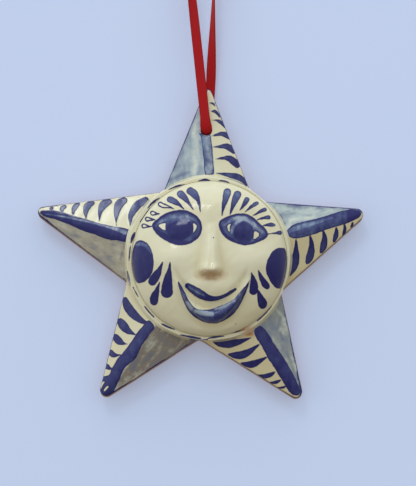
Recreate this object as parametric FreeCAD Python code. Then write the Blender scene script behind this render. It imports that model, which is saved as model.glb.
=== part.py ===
import FreeCAD, Part
import math
import os

from FreeCAD import Placement, Rotation, Vector

# Hanging star of glazed earthenware with a moulded face, on a loop of narrow satin ribbon.
# Millimetres. X to the viewer's right, Y away from the viewer, Z up. The origin is the hang
# point: the underside of the ribbon's crown, where it lies over a peg. The clay pieces are drawn
# on their backs, with x to the right, y up the star and z out of the flat back, and then hung.

# Star outline, drawn by hand: corners before rounding, counter-clockwise from the right ray
tip_reach = 60.8
tip_reach_shares = (0.996, 1.016, 1.013, 0.990, 0.985)
tip_angles_deg = (17.1, 88.1, 162.8, 233.3, 305.8)
valley_reach = 27.1
valley_reach_shares = (1.006, 1.005, 0.976, 0.961, 1.056)
valley_angles_deg = (49.6, 118.9, 194.8, 267.8, 339.6)
tip_rounding = 2.2
valley_rounding = 1.6

# Star section: a ridged roof of ten facets over an upright rim, on a flat slab
roof_height = 14.0
rim_height = 4.2
slab_thickness = 2.6
shell_wall = 3.2
ridge_rounding = 1.6
rim_rounding = 1.0
rim_step_shares = ((0.3, 0.74), (1.5, 1.75))
back_edge_easing = 0.6
hollow_reach = 36.0
window_ledge = 3.0
vent_diameter = 4.0

# Hanging hole through the top ray
hole_reach = 44.8
hole_diameter = 3.8
hole_lip = 0.7
lip_step_shares = ((1.0, 0.0), (0.35, 0.35), (0.0, 1.0))

# Face: a round dome that stands off the middle of the star, seated on its ridges
face_radius = 26.2
face_offset_x = 2.1
face_offset_y = 1.4
face_edge_stand = 0.1
face_edge_rise = 2.9
face_crown_rise = 10.3
face_fall = 7.9
face_fall_power = 3.3
face_wall = 4.0

# Relief of the face: heights above the plain dome
nose_height = 5.8
brow_height = 0.6
eye_height = 1.8
socket_depth = 1.5
cheek_height = 1.3
muzzle_height = 1.4
mouth_depth = 2.2
lip_height = 2.7

# Places on the face, in shares of its radius from its middle
nose_root_share = 0.37
nose_tip_share = -0.15
nose_line_share = 0.035
nose_width_share = 0.1
nose_bridge_share = 0.02
nose_fade_share = 0.1
nose_root_width_share = 0.6
nose_rise_power = 1.1
brow_share = (0.04, 0.66)
brow_size_share = (0.5, 0.26)
eye_shares = ((-0.394, 0.385), (0.453, 0.37))
eye_size_share = (0.23, 0.15)
socket_size_share = (0.36, 0.24)
cheek_shares = ((-0.47, -0.02), (0.53, -0.05))
cheek_size_share = (0.29, 0.22)
muzzle_share = (0.04, -0.36)
muzzle_size_share = (0.26, 0.16)
mouth_share = (0.04, -0.6)
mouth_curl_share = 1.7
mouth_reach_share = 0.44
mouth_gap_share = 0.09
lip_share = (0.05, -0.75)
lip_curl_share = 2.15
lip_reach_share = 0.42
lip_roll_share = 0.1
relief_end_share = 0.96
relief_fade_share = 0.06
net_spread_share = 1.1
face_edge_shares = ((1.0, 0.0), (0.95, 1.0))
face_hollow_shares = ((1.0, 0.0), (0.74, 0.72), (0.0, 0.72))

# Coil of clay round the foot of the face
coil_gap = 0.15
coil_width = 1.7
coil_stand = 0.5

# Ribbon, the peg that it hangs on, and the hole's place below the peg
ribbon_width = 3.2
ribbon_thickness = 0.4
ribbon_standoff = 0.75
mouth_bend_radius = 2.7
peg_radius = 5.0
hang_drop = 72.0
hang_side_step = 1.8
back_lean_height = 13.0
back_lean_side = 1.4

# Knot in the back strand, and its two tails
knot_drop = 16.0
knot_length = 5.2
knot_width = 4.8
knot_depth = 3.4
knot_neck_width = 3.6
knot_neck_depth = 1.4
tail_thickness = 0.4
tail_rise = 6.0
tail_reach = 8.0
tail_root_share = 0.2
tail_shares = ((0.3, 0.35), (0.62, 1.0), (1.0, 1.45))
knot_swell_shares = ((-0.5, 0.0), (-0.3, 0.75), (0.0, 1.0), (0.3, 0.75), (0.5, 0.0))

# Twist of the ribbon's two strands, the back one from the star's tip up, and section spacing
front_twist_power = 2.6
back_twist_power = 2.4
run_step_share = 2.0
bend_fill_share = 0.45

# One overrun for every cut
overrun = 1.0

TOP_RAY = 1
STATION_TURN_DEG = 22.5
KNOT_SIDES = 10
NET_STEPS = 15
NET_DEGREE = 3
COIL_STEPS = 2
CURL_END_POWER = 6


def polar(reach, angle_deg):
    angle = math.radians(angle_deg)
    return Vector(reach * math.cos(angle), reach * math.sin(angle), 0)


def outline_corners(spread=1):
    """Tips and valleys in turn, counter-clockwise."""
    corners = []
    for index, angle_deg in enumerate(tip_angles_deg):
        corners.append(polar(tip_reach * tip_reach_shares[index] * spread, angle_deg))
        valley = valley_reach * valley_reach_shares[index] * spread
        corners.append(polar(valley, valley_angles_deg[index]))
    return corners


def outward(start, end):
    """Unit normal on the outer side of an edge of the outline."""
    along = (end - start).normalize()
    return Vector(along.y, -along.x, 0)


def rounded_outline(inset, height):
    """The star's outline as one wire: straight edges joined by arcs round fixed centres."""
    corners = outline_corners()
    count = len(corners)
    arcs = []
    for index, corner in enumerate(corners):
        before = outward(corners[index - 1], corner)
        after = outward(corner, corners[(index + 1) % count])
        middle = (before + after).normalize()
        lean = before.dot(middle)
        if index % 2 == 0:
            centre = corner - middle * (tip_rounding / lean)
            radius = tip_rounding - inset
        else:
            centre = corner + middle * (valley_rounding / lean)
            radius = -valley_rounding - inset
        centre.z = height
        arcs.append([centre + way * radius for way in (before, middle, after)])
    edges = []
    for index, (start, middle, end) in enumerate(arcs):
        edges.append(Part.Arc(start, middle, end).toShape())
        edges.append(Part.LineSegment(end, arcs[(index + 1) % count][0]).toShape())
    return Part.Wire(edges)


def roof(lowered=0):
    """Ten facets that fall from the middle to past the rim, closed far below."""
    spread = 1 + rim_height / roof_height
    top = Vector(0, 0, roof_height - lowered)
    eaves_height = roof_height - (roof_height - rim_height) * spread - lowered
    eaves = [corner + Vector(0, 0, eaves_height) for corner in outline_corners(spread)]
    floor = [Vector(point.x, point.y, -roof_height) for point in eaves]
    faces = [Part.Face(Part.makePolygon(floor + floor[:1]))]
    for index in range(len(eaves)):
        after = (index + 1) % len(eaves)
        facet = [top, eaves[index], eaves[after], top]
        wall = [eaves[index], floor[index], floor[after], eaves[after], eaves[index]]
        faces.append(Part.Face(Part.makePolygon(facet)))
        faces.append(Part.Face(Part.makePolygon(wall)))
    return Part.Solid(Part.Shell(faces))


def turned(corners):
    """Solid of revolution about the Z axis from the corners of a half section."""
    section = Part.Face(Part.makePolygon(corners + corners[:1]))
    return section.revolve(Vector(), Vector(0, 0, 1), 360)


def ridge_height(reach):
    """Height of the top ray's ridge above the flat back, this far from the middle."""
    full_reach = tip_reach * tip_reach_shares[TOP_RAY]
    return roof_height - (roof_height - rim_height) * reach / full_reach


def seat_height():
    """Height of the ridges where the face's edge crosses them."""
    return ridge_height(face_radius)


def face_centre(height=0):
    return Vector(face_offset_x, face_offset_y, height)


def hanging_bore():
    """Cutter for the hanging hole, with an eased lip at the front and the back."""
    radius = hole_diameter / 2
    front = ridge_height(hole_reach)
    half_section = [Vector(0, 0, -overrun), Vector(radius + hole_lip, 0, -overrun)]
    for lip_share, depth_share in lip_step_shares:
        half_section.append(Vector(radius + hole_lip * lip_share, 0, hole_lip * depth_share))
    for lip_share, depth_share in reversed(lip_step_shares):
        height = front - hole_lip * depth_share
        half_section.append(Vector(radius + hole_lip * lip_share, 0, height))
    half_section.append(Vector(radius + hole_lip, 0, front + overrun))
    half_section.append(Vector(0, 0, front + overrun))
    cutter = turned(half_section)
    cutter.translate(polar(hole_reach, tip_angles_deg[TOP_RAY]))
    return cutter


def face_window():
    """Round opening under the face, from far below to far above the clay."""
    radius = face_radius - face_wall - window_ledge
    return Part.makeCylinder(radius, 3 * roof_height, face_centre(-roof_height))


def softened_roof():
    """The facets with their ridges rounded, open in the middle."""
    facets = roof().cut(face_window())
    ridges = []
    for edge in facets.Edges:
        rise = abs(edge.tangentAt(edge.FirstParameter).z)
        if 0 < round(rise, 1) < 1 and edge.Length > tip_reach / 2:
            ridges.append(edge)
    return facets.makeFillet(ridge_rounding, ridges)


def make_star_shell():
    """Hollow star: eased rim, soft ridges, and a window under the face."""
    rim_start = rim_height - rim_rounding
    steps = [(0, slab_thickness), (0, rim_start)]
    for inset_share, rise_share in rim_step_shares:
        steps.append((rim_rounding * inset_share, rim_start + rim_rounding * rise_share))
    wall = Part.makeLoft([rounded_outline(*step) for step in steps], True, True)
    upper = Part.Face(rounded_outline(*steps[-1])).extrude(Vector(0, 0, roof_height))
    star = wall.fuse(upper).common(softened_roof())
    reach = Part.makeCylinder(hollow_reach, roof_height, Vector(0, 0, slab_thickness))
    return star.cut(roof(shell_wall).common(reach)).cut(hanging_bore())


def make_back_slab():
    """Flat slab with the star's outline, the hanging hole and the kiln vent."""
    slab = Part.Face(rounded_outline(0, 0)).extrude(Vector(0, 0, slab_thickness))
    back_edges = [edge for edge in slab.Edges if edge.BoundBox.ZMax < slab_thickness / 2]
    slab = slab.makeChamfer(back_edge_easing, back_edges)
    vent = Part.makeCylinder(vent_diameter / 2, slab_thickness + 2 * overrun,
                             face_centre(-overrun))
    return slab.cut(vent).cut(hanging_bore())


def bump(x, y, centre_share, size_share):
    """Smooth mound of height 1, placed and sized in shares of the face's radius."""
    across = (x - centre_share[0]) / size_share[0]
    up = (y - centre_share[1]) / size_share[1]
    return math.exp(-across * across - up * up)


def curl(x, y, middle_share, curl_share, reach_share, roll_share):
    """Smooth roll of height 1 along a parabola that turns up at both ends."""
    across = x - middle_share[0]
    off = y - middle_share[1] - curl_share * across * across
    off /= math.hypot(1, 2 * curl_share * across)
    fade = math.exp(-(across / reach_share) ** CURL_END_POWER)
    return math.exp(-(off / roll_share) ** 2) * fade


def nose(x, y):
    """Bridge that widens and rises to a round tip, and falls away short below it."""
    down = (nose_root_share - y) / (nose_root_share - nose_tip_share)
    if down <= 0:
        height = nose_bridge_share * math.exp(-(down / nose_fade_share) ** 2)
    elif down <= 1:
        rise = math.sin(down * math.pi / 2) ** nose_rise_power
        height = nose_bridge_share + (1 - nose_bridge_share) * rise
    else:
        height = math.exp(-((down - 1) / nose_fade_share) ** 2)
    spread = nose_root_width_share + (1 - nose_root_width_share) * min(max(down, 0), 1)
    return height * math.exp(-((x - nose_line_share) / (nose_width_share * spread)) ** 2)


def face_height(x, y):
    """Height above the flat back, at a place given in shares of the face's radius."""
    out = math.hypot(x, y)
    relief = nose_height * nose(x, y)
    relief += brow_height * bump(x, y, brow_share, brow_size_share)
    for eye_share in eye_shares:
        relief += eye_height * bump(x, y, eye_share, eye_size_share)
        relief -= socket_depth * bump(x, y, eye_share, socket_size_share)
    for cheek_share in cheek_shares:
        relief += cheek_height * bump(x, y, cheek_share, cheek_size_share)
    relief += muzzle_height * bump(x, y, muzzle_share, muzzle_size_share)
    relief -= mouth_depth * curl(x, y, mouth_share, mouth_curl_share, mouth_reach_share,
                                 mouth_gap_share)
    relief += lip_height * curl(x, y, lip_share, lip_curl_share, lip_reach_share, lip_roll_share)
    fade = 1 / (1 + math.exp((out - relief_end_share) / relief_fade_share))
    crown_height = seat_height() + face_crown_rise
    return crown_height - face_fall * out ** face_fall_power + relief * fade


def face_skin():
    """Face's front as one smooth surface over a square net of heights."""
    half = face_radius * net_spread_share
    count = NET_STEPS + 1
    net = []
    for across in range(count):
        x = half * (2 * across / NET_STEPS - 1)
        row = []
        for up in range(count):
            y = half * (2 * up / NET_STEPS - 1)
            row.append(Vector(x, y, face_height(x / face_radius, y / face_radius)))
        net.append(row)
    knots = list(range(count - NET_DEGREE + 1))
    repeats = [NET_DEGREE + 1] + [1] * (len(knots) - 2) + [NET_DEGREE + 1]
    skin = Part.BSplineSurface()
    skin.buildFromPolesMultsKnots(net, repeats, repeats, knots, knots, False, False,
                                  NET_DEGREE, NET_DEGREE)
    return skin.toShape()


def make_face_dome():
    """Hollow face: a modelled skin over a thumbed-out hollow, seated on the star's facets."""
    crown_height = seat_height() + face_crown_rise
    edge_height = seat_height() + face_edge_stand
    below = face_skin().extrude(Vector(0, 0, -3 * crown_height))
    drum = [Vector(0, 0, rim_height), Vector(face_radius, 0, rim_height)]
    for radius_share, rise_share in face_edge_shares:
        height = edge_height + face_edge_rise * rise_share
        drum.append(Vector(face_radius * radius_share, 0, height))
    drum.append(Vector(drum[-1].x, 0, 2 * crown_height))
    drum.append(Vector(0, 0, 2 * crown_height))
    inner_radius = face_radius - face_wall
    hollow = [Vector(), Vector(inner_radius, 0, 0)]
    for radius_share, rise_share in face_hollow_shares:
        rise = (crown_height - face_wall - edge_height) * rise_share
        hollow.append(Vector(inner_radius * radius_share, 0, edge_height + rise))
    face = below.common(turned(drum)).cut(turned(hollow))
    face.translate(face_centre())
    return face.cut(roof())


def make_seam_coil():
    """Coil of clay round the foot of the face, trimmed to the star's facets."""
    inner = face_radius + coil_gap
    top = seat_height() + coil_stand
    section = [Vector(inner, 0, rim_height), Vector(inner + coil_width, 0, rim_height)]
    for index in range(COIL_STEPS + 1):
        angle = math.pi * (index + 0.5) / (COIL_STEPS + 1)
        reach = inner + coil_width / 2 * (1 + math.cos(angle))
        section.append(Vector(reach, 0, top - coil_width / 2 * (1 - math.sin(angle))))
    section[2].x = section[1].x
    section[-1].x = section[0].x
    coil = turned(section)
    coil.translate(face_centre())
    return coil.cut(roof())


def hung(shape):
    """Stands a clay piece up with the hanging hole at its place under the hang point."""
    hole = polar(hole_reach, tip_angles_deg[TOP_RAY])
    shape.translate(Vector(-hole.x, -hole.y, -ridge_height(hole_reach) / 2))
    shape.rotate(Vector(), Vector(1, 0, 0), 90)
    shape.translate(hole_place())
    return shape


def hole_place():
    """Middle of the hanging hole, and the axis point that the star swings about."""
    return Vector(hang_side_step, 0, -hang_drop)


def ribbon_route():
    """Ends, corners and bend radii of the ribbon's middle line, from the knot and back to it."""
    outer = peg_radius + ribbon_thickness / 2
    crown = ribbon_thickness / 2
    clear = ridge_height(hole_reach) / 2 + ribbon_standoff
    hole = hole_place()
    right = Vector(outer, 0, crown)
    left = Vector(-outer, 0, crown)
    front = hole + Vector(0, -clear, 0)
    back = hole + Vector(0, clear, 0)
    lean = back + Vector(back_lean_side, 0, back_lean_height)
    strand = (right - lean).normalize()
    knot = right - strand * (knot_drop / strand.z)
    points = [knot + strand * (knot_length / 2), right, left, front, back, lean,
              knot - strand * (knot_length / 2)]
    lean_turn = (lean - back).getAngle(strand)
    lean_radius = bend_fill_share * (lean - back).Length / math.tan(lean_turn / 2)
    radii = [outer, outer, mouth_bend_radius, mouth_bend_radius, lean_radius]
    return points, radii


def stations(points, radii):
    """Places and directions along straight runs joined by arcs that touch them."""
    found = [(points[0], (points[1] - points[0]).normalize())]
    for index, radius in enumerate(radii, 1):
        corner = points[index]
        before = (corner - points[index - 1]).normalize()
        after = (points[index + 1] - corner).normalize()
        turn = before.getAngle(after)
        reach = radius * math.tan(turn / 2)
        start = corner - before * reach
        centre = start + (after - before * before.dot(after)).normalize() * radius
        add_run(found, start, before)
        steps = math.ceil(turn / math.radians(STATION_TURN_DEG))
        for step in range(1, steps + 1):
            angle = turn * step / steps
            spoke = Rotation(before.cross(after), math.degrees(angle))
            found.append((centre + spoke.multVec(start - centre), spoke.multVec(before)))
    add_run(found, points[-1], (points[-1] - points[-2]).normalize())
    return found


def add_run(found, end, along):
    """Adds stations from the last one to the end of a straight run."""
    start = found[-1][0]
    steps = max(1, math.ceil((end - start).Length / (ribbon_width * run_step_share)))
    for step in range(1, steps + 1):
        found.append((start + (end - start) * (step / steps), along))


def turned_width(place, along):
    """Direction of the ribbon's width: across the star at the hole, along the peg at the top."""
    start = -hang_drop
    if place.y > 0:
        start += tip_reach * tip_reach_shares[TOP_RAY] - hole_reach
    rise = (place.z - start) / (-peg_radius - start)
    rise = min(max(rise, 0), 1)
    if place.y < 0:
        quarter = rise ** front_twist_power
    else:
        quarter = 1 - (1 - rise) ** back_twist_power
    angle = quarter * math.pi / 2
    width = Vector(math.cos(angle), math.sin(angle), 0)
    return (width - along * width.dot(along)).normalize()


def strip(path, widths, width, thickness):
    """Flat band through rectangles across its path."""
    sections = []
    for (place, along), across in zip(path, widths):
        side = across * (width / 2)
        up = along.cross(across) * (thickness / 2)
        corners = [place + side + up, place - side + up, place - side - up, place + side - up]
        sections.append(Part.makePolygon(corners + corners[:1]))
    return Part.makeLoft(sections, True, True)


def make_hanging_ribbon():
    """One flat ribbon over the peg, down the front, through the hole and up the back."""
    points, radii = ribbon_route()
    path = stations(points, radii)
    widths = [turned_width(place, along) for place, along in path]
    ribbon = strip(path, widths, ribbon_width, ribbon_thickness)
    length = sum((path[index + 1][0] - path[index][0]).Length for index in range(len(path) - 1))
    section = ribbon_width * ribbon_thickness
    print("bend radii", [round(radius, 1) for radius in radii])
    print("ribbon length", round(length, 1), "volume", round(ribbon.Volume, 1),
          "section times length", round(section * length, 1))
    return ribbon


def make_ribbon_knot():
    """Flat reef knot between the ribbon's two ends, with two short tails."""
    points, radii = ribbon_route()
    along = (points[0] - points[-1]).normalize()
    middle = (points[0] + points[-1]) * 0.5
    across = turned_width(middle, along)
    out = across.cross(along)
    if out.x < 0:
        out = out * -1
    sections = []
    for place_share, swell_share in knot_swell_shares:
        wide = knot_neck_width + (knot_width - knot_neck_width) * swell_share
        deep = knot_neck_depth + (knot_depth - knot_neck_depth) * swell_share
        centre = middle + along * (knot_length * place_share)
        corners = []
        for step in range(KNOT_SIDES):
            angle = 2 * math.pi * (step + 0.5) / KNOT_SIDES
            bulge = max(abs(math.cos(angle)), abs(math.sin(angle))) ** 0.5
            corners.append(centre + across * (wide / 2 * math.cos(angle) / bulge)
                           + out * (deep / 2 * math.sin(angle) / bulge))
        sections.append(Part.makePolygon(corners + corners[:1]))
    knot = Part.makeLoft(sections, True, True)
    for way in (1, -1):
        route = [middle + out * (knot_depth * tail_root_share)]
        for reach_share, rise_share in tail_shares:
            route.append(middle + out * (tail_reach * reach_share)
                         + along * (tail_rise * rise_share * way))
        bends = []
        for index in range(1, len(route) - 1):
            before = route[index] - route[index - 1]
            after = route[index + 1] - route[index]
            shorter = min(before.Length, after.Length)
            turn = before.getAngle(after)
            bends.append(bend_fill_share * shorter / math.tan(turn / 2))
        path = stations(route, bends)
        tail = strip(path, [across] * len(path), ribbon_width, tail_thickness)
        knot = knot.fuse(tail)
    return knot


clay = {
    "star_shell": make_star_shell(),
    "back_slab": make_back_slab(),
    "face_dome": make_face_dome(),
    "seam_coil": make_seam_coil(),
}
pieces = {name: hung(shape) for name, shape in clay.items()}
pieces["hanging_ribbon"] = make_hanging_ribbon()
pieces["ribbon_knot"] = make_ribbon_knot()

os.makedirs("parts", exist_ok=True)
for name, shape in pieces.items():
    solid = shape.Solids[0]
    print(name, "solids", len(shape.Solids), "valid", solid.isValid(), "volume",
          round(solid.Volume, 1))
    solid.exportStep("parts/" + name + ".step")
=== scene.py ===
import bmesh
import bpy
import math
import numpy as np
from mathutils import Matrix, Vector


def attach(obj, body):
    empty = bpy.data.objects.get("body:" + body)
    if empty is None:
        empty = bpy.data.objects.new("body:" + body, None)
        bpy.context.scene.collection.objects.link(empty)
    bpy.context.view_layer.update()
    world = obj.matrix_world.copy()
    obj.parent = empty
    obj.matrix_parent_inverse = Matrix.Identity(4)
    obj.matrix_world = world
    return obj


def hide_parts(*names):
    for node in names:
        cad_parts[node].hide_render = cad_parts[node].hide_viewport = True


# Hanging star of glazed earthenware with a painted face, on a loop of satin ribbon.
# The clay is modelled in millimetres lying on its back: x right, y up the star, z out of the
# flat back. hang() stands it up in the frame, in metres.

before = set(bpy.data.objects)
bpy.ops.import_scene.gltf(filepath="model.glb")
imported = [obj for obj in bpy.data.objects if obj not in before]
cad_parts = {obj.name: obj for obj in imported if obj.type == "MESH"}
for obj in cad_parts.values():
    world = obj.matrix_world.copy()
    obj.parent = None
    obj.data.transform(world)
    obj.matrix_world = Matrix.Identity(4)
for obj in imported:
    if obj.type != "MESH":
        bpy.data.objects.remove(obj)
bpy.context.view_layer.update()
mm = 0.001

# Distances in mm that stand for none near: to a line, to paint, to the wash and to an edge
far_off = 50.0
unpainted = 3.0
unwashed = -3.0
mid_facet = 9.0

# Star outline: reach, angle and rounding of its corners, a tip and a valley in turn,
# counter-clockwise from the right tip
corner_reaches = np.array((60.56, 27.26, 60.9, 27.24, 61.59, 26.45, 60.19, 26.04, 59.89, 28.62))
corner_angles = np.array((17.1, 49.6, 88.1, 118.9, 162.8, 194.8, 233.3, 267.8, 305.8, 339.6))
corner_roundings = (2.2, -1.6, 1.3, -1.6, 1.9, -1.6, 2.2, -1.6, 2.2, -1.6)
corner_turns = np.radians(corner_angles)
star_corners = (corner_reaches * (np.cos(corner_turns), np.sin(corner_turns))).T
sharpest_tip = 0.15
roof_height = 14.0
star_inner_reach = 22.0
slab_thickness = 2.6
slab_slip = 0.55
glaze_foot = 3.2
wash_foot = 3.3
edge_line_height = 3.8

# Rounded rim from the roof's slope to the star's wall
rim_height = 4.2
rim_radius = 1.1
rim_slope = math.radians(23)
rim_start_inset = rim_radius * (1 - math.sin(rim_slope))
rim_top = rim_height + math.tan(rim_slope) * rim_start_inset
rim_centre = rim_top - rim_radius * math.cos(rim_slope)

# Hole for the ribbon, and how the star hangs by it
hole_x, hole_y = 1.485, 44.775
hole_radius = 1.9
hung_x = 1.8
hang_drop = 72.0
back_plane = 3.447

# Face and the coil round it; a ring is the x and y of its middle and its radius
face_x, face_y = 2.1, 1.4
face_radius = 26.2
face_crown_height = 20.1
face_ring = (2.45, 1.2, 26.25)
coil_ring = (2.0, 1.05, 27.85)
coil_top = 10.3

# Soft forms of the face: height in mm, then place and half widths as shares of its radius
face_forms = (
    (0.8, -0.058, -0.115, 0.045, 0.05),   # Nostrils
    (0.8, 0.108, -0.115, 0.045, 0.05),
    (-0.5, 0.022, -0.24, 0.09, 0.035),    # Hollow under the nose
    (0.55, 0.04, 0.62, 0.30, 0.22),       # Forehead
    (1.4, -0.50, -0.02, 0.30, 0.22),      # Cheeks
    (1.4, 0.55, -0.05, 0.29, 0.22),
    (1.5, 0.04, -0.37, 0.27, 0.16, 1.2),  # Muzzle
    (0.9, 0.06, -0.93, 0.26, 0.10),       # Chin
)
eye_forms = (
    (-0.9, 0, 0, 0.34, 0.22, 1.4),        # Socket
    (1.5, 0, 0, 0.24, 0.14, 1.3),         # Eyeball
    (0.45, 0, 0.27, 0.30, 0.10),          # Brow
)
eyes_at = ((-0.394, 0.385, -0.04), (0.453, 0.37, -0.10))

# Ribbon: its loop as given points in mm in the frame, and the knot's middle
ribbon_width = 3.2
ribbon_thickness = 0.35
ribbon_cup = 0.10
knot_place = (4.66, 1.13, -15.8)
ribbon_route = (
    (4.75, 0.95, -13.2), (5.2, 0, 0.2), (-5.2, 0, 0.2), (-5.15, -0.5, -8.0),
    (0.85, -3.85, -63.6), (1.8, -4.196, -72), (1.8, 4.196, -72), (3.2, 4.196, -59),
    (3.6, 3.4, -47), (4.57, 1.32, -18.4),
)

# Brush strokes, read one by one: x, y and half width along each one, from its tail to its head
top_ray_strokes = (
    ((2.7, 54, 0.23), (3.7, 53.9, 0.39), (4.4, 53, 0.23)),
    ((3.3, 51.2, 0.23), (4.4, 51.2, 0.62), (5.3, 50.4, 0.51), (6.1, 49.1, 0.17)),
    ((3.4, 48.2, 0.17), (5.1, 48.1, 0.39), (6.3, 47.5, 0.68), (7.1, 46.7, 0.51),
     (7.8, 45.6, 0.17)),
    ((3.4, 42.8, 0.2), (5.4, 43.3, 0.51), (7.1, 43.6, 0.9), (8.4, 42.9, 0.85), (9.4, 41.9, 0.42)),
    ((4, 39, 0.2), (6.3, 39.2, 0.56), (8.2, 39.4, 1.07), (9.5, 38.7, 1.13), (10.8, 37.4, 0.7)),
    ((4.6, 34.9, 0.2), (7.1, 35.3, 0.51), (9.2, 35.3, 1.07), (10.6, 34.3, 1.35), (11.9, 33, 1.13)),
    ((4.8, 30.1, 0.2), (8.5, 29.7, 0.62), (11.3, 28.9, 1.41), (13.6, 27.8, 1.41), (15, 26.4, 0.7)),
)
left_ray_strokes = (
    ((-24.2, 11.8, 0.18), (-24.3, 13.6, 0.47), (-24.2, 15.7, 0.99), (-23.1, 17.8, 1.3),
     (-21.6, 19.8, 1.43), (-19.2, 21, 1.17)),
    ((-29, 12.3, 0.18), (-29.1, 14.1, 0.31), (-29, 15.9, 0.83), (-28.8, 17.8, 1.25),
     (-28.2, 19.8, 1.61), (-26.5, 20.9, 1.17)),
    ((-34.7, 13.7, 0.18), (-34.8, 15.9, 0.57), (-34.4, 17.8, 0.99), (-33.5, 19.6, 1.56),
     (-31.6, 20.5, 0.99)),
    ((-39.3, 14.8, 0.21), (-39.4, 16.2, 0.57), (-39.4, 17.6, 0.99), (-38.9, 19.2, 1.35),
     (-37.2, 20, 0.78)),
    ((-43.7, 16.2, 0.31), (-43.7, 17.5, 0.73), (-43.1, 18.8, 1.09), (-42.1, 19.6, 0.65)),
    ((-47.4, 17.5, 0.52), (-47.7, 18.2, 0.83), (-46.6, 18.8, 0.65)),
    ((-51.4, 18.1, 0.47), (-51, 18.4, 0.57)),
)
right_ray_strokes = (
    ((31.8, 7.5, 0.29), (31.9, 4.5, 0.72), (31.8, 2, 1.31), (31.4, -0.4, 1.57), (30.6, -2.9, 1),
     (29.6, -4.7, 0.33)),
    ((36.6, 8.8, 0.33), (37.1, 6.6, 0.76), (37.1, 4, 1.19), (36.6, 1.8, 1.38), (35.9, 0.2, 0.91),
     (35.6, -0.5, 0.36)),
    ((41.1, 10.4, 0.38), (41.6, 8.9, 0.76), (41.5, 6.7, 1.19), (41.1, 4.9, 1.15),
     (40.4, 3.4, 0.52)),
    ((45.5, 11.6, 0.38), (45.7, 10.4, 0.67), (45.4, 8.8, 1), (44.8, 7.1, 0.48)),
    ((48.2, 12.8, 0.33), (48.6, 11.6, 0.52), (48.3, 10.2, 0.62), (47.9, 9.2, 0.33)),
    ((51.1, 13.4, 0.33), (51, 12.6, 0.48), (50.6, 11.9, 0.29)),
)
lower_left_strokes = (
    ((-18.6, -20.4, 0.37), (-20.2, -20, 0.95), (-22.2, -18.6, 1.37), (-24.2, -16.6, 1.62),
     (-25.7, -14.4, 1.45), (-26.1, -12.8, 0.95)),
    ((-22.5, -24.5, 0.2), (-23.9, -24, 0.62), (-25.4, -23.1, 1.25), (-26.7, -21.6, 1.7),
     (-27.8, -20.1, 1.12)),
    ((-25.4, -27.8, 0.2), (-27.2, -27.5, 0.7), (-28.5, -26.6, 1.45), (-29.3, -25.4, 1.05)),
    ((-27.5, -31.4, 0.2), (-28.9, -31.6, 0.5), (-30.3, -31.5, 1.05), (-31, -30.6, 0.95)),
    ((-30.8, -36.1, 0.37), (-31.4, -36.1, 0.62), (-32.3, -35.5, 0.9)),
    ((-31.4, -38.8, 0.45), (-32.6, -39.3, 0.6), (-33.8, -39.5, 0.7)),
)
lower_right_strokes = (
    ((16.6, -25.5, 0.19), (14.1, -26.5, 0.67), (11.7, -27.2, 1.19), (8.9, -27.7, 1.57),
     (6.2, -27.7, 1.24), (4, -27.2, 0.33)),
    ((19.5, -27.7, 0.19), (17.7, -29.1, 0.67), (15.8, -30.5, 1.15), (13.4, -31.6, 1.48),
     (11.2, -31.7, 1.19), (9.2, -31.4, 0.43)),
    ((21.9, -32.1, 0.24), (19.4, -33.6, 0.91), (17.2, -34.7, 1.34), (15.3, -34.8, 1.07),
     (13.4, -34.4, 0.33)),
    ((24.7, -37.2, 0.24), (23.9, -37.8, 0.6), (22.5, -38.5, 0.91), (20.8, -38.8, 0.72),
     (18.9, -38.5, 0.24)),
    ((26.6, -40, 0.29), (25.6, -40.6, 0.6), (24.4, -41, 0.6), (22.8, -40.9, 0.19)),
    ((28.3, -42.1, 0.29), (27.7, -42.6, 0.52), (26.3, -42.7, 0.38), (24.6, -42.7, 0.19)),
)

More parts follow.
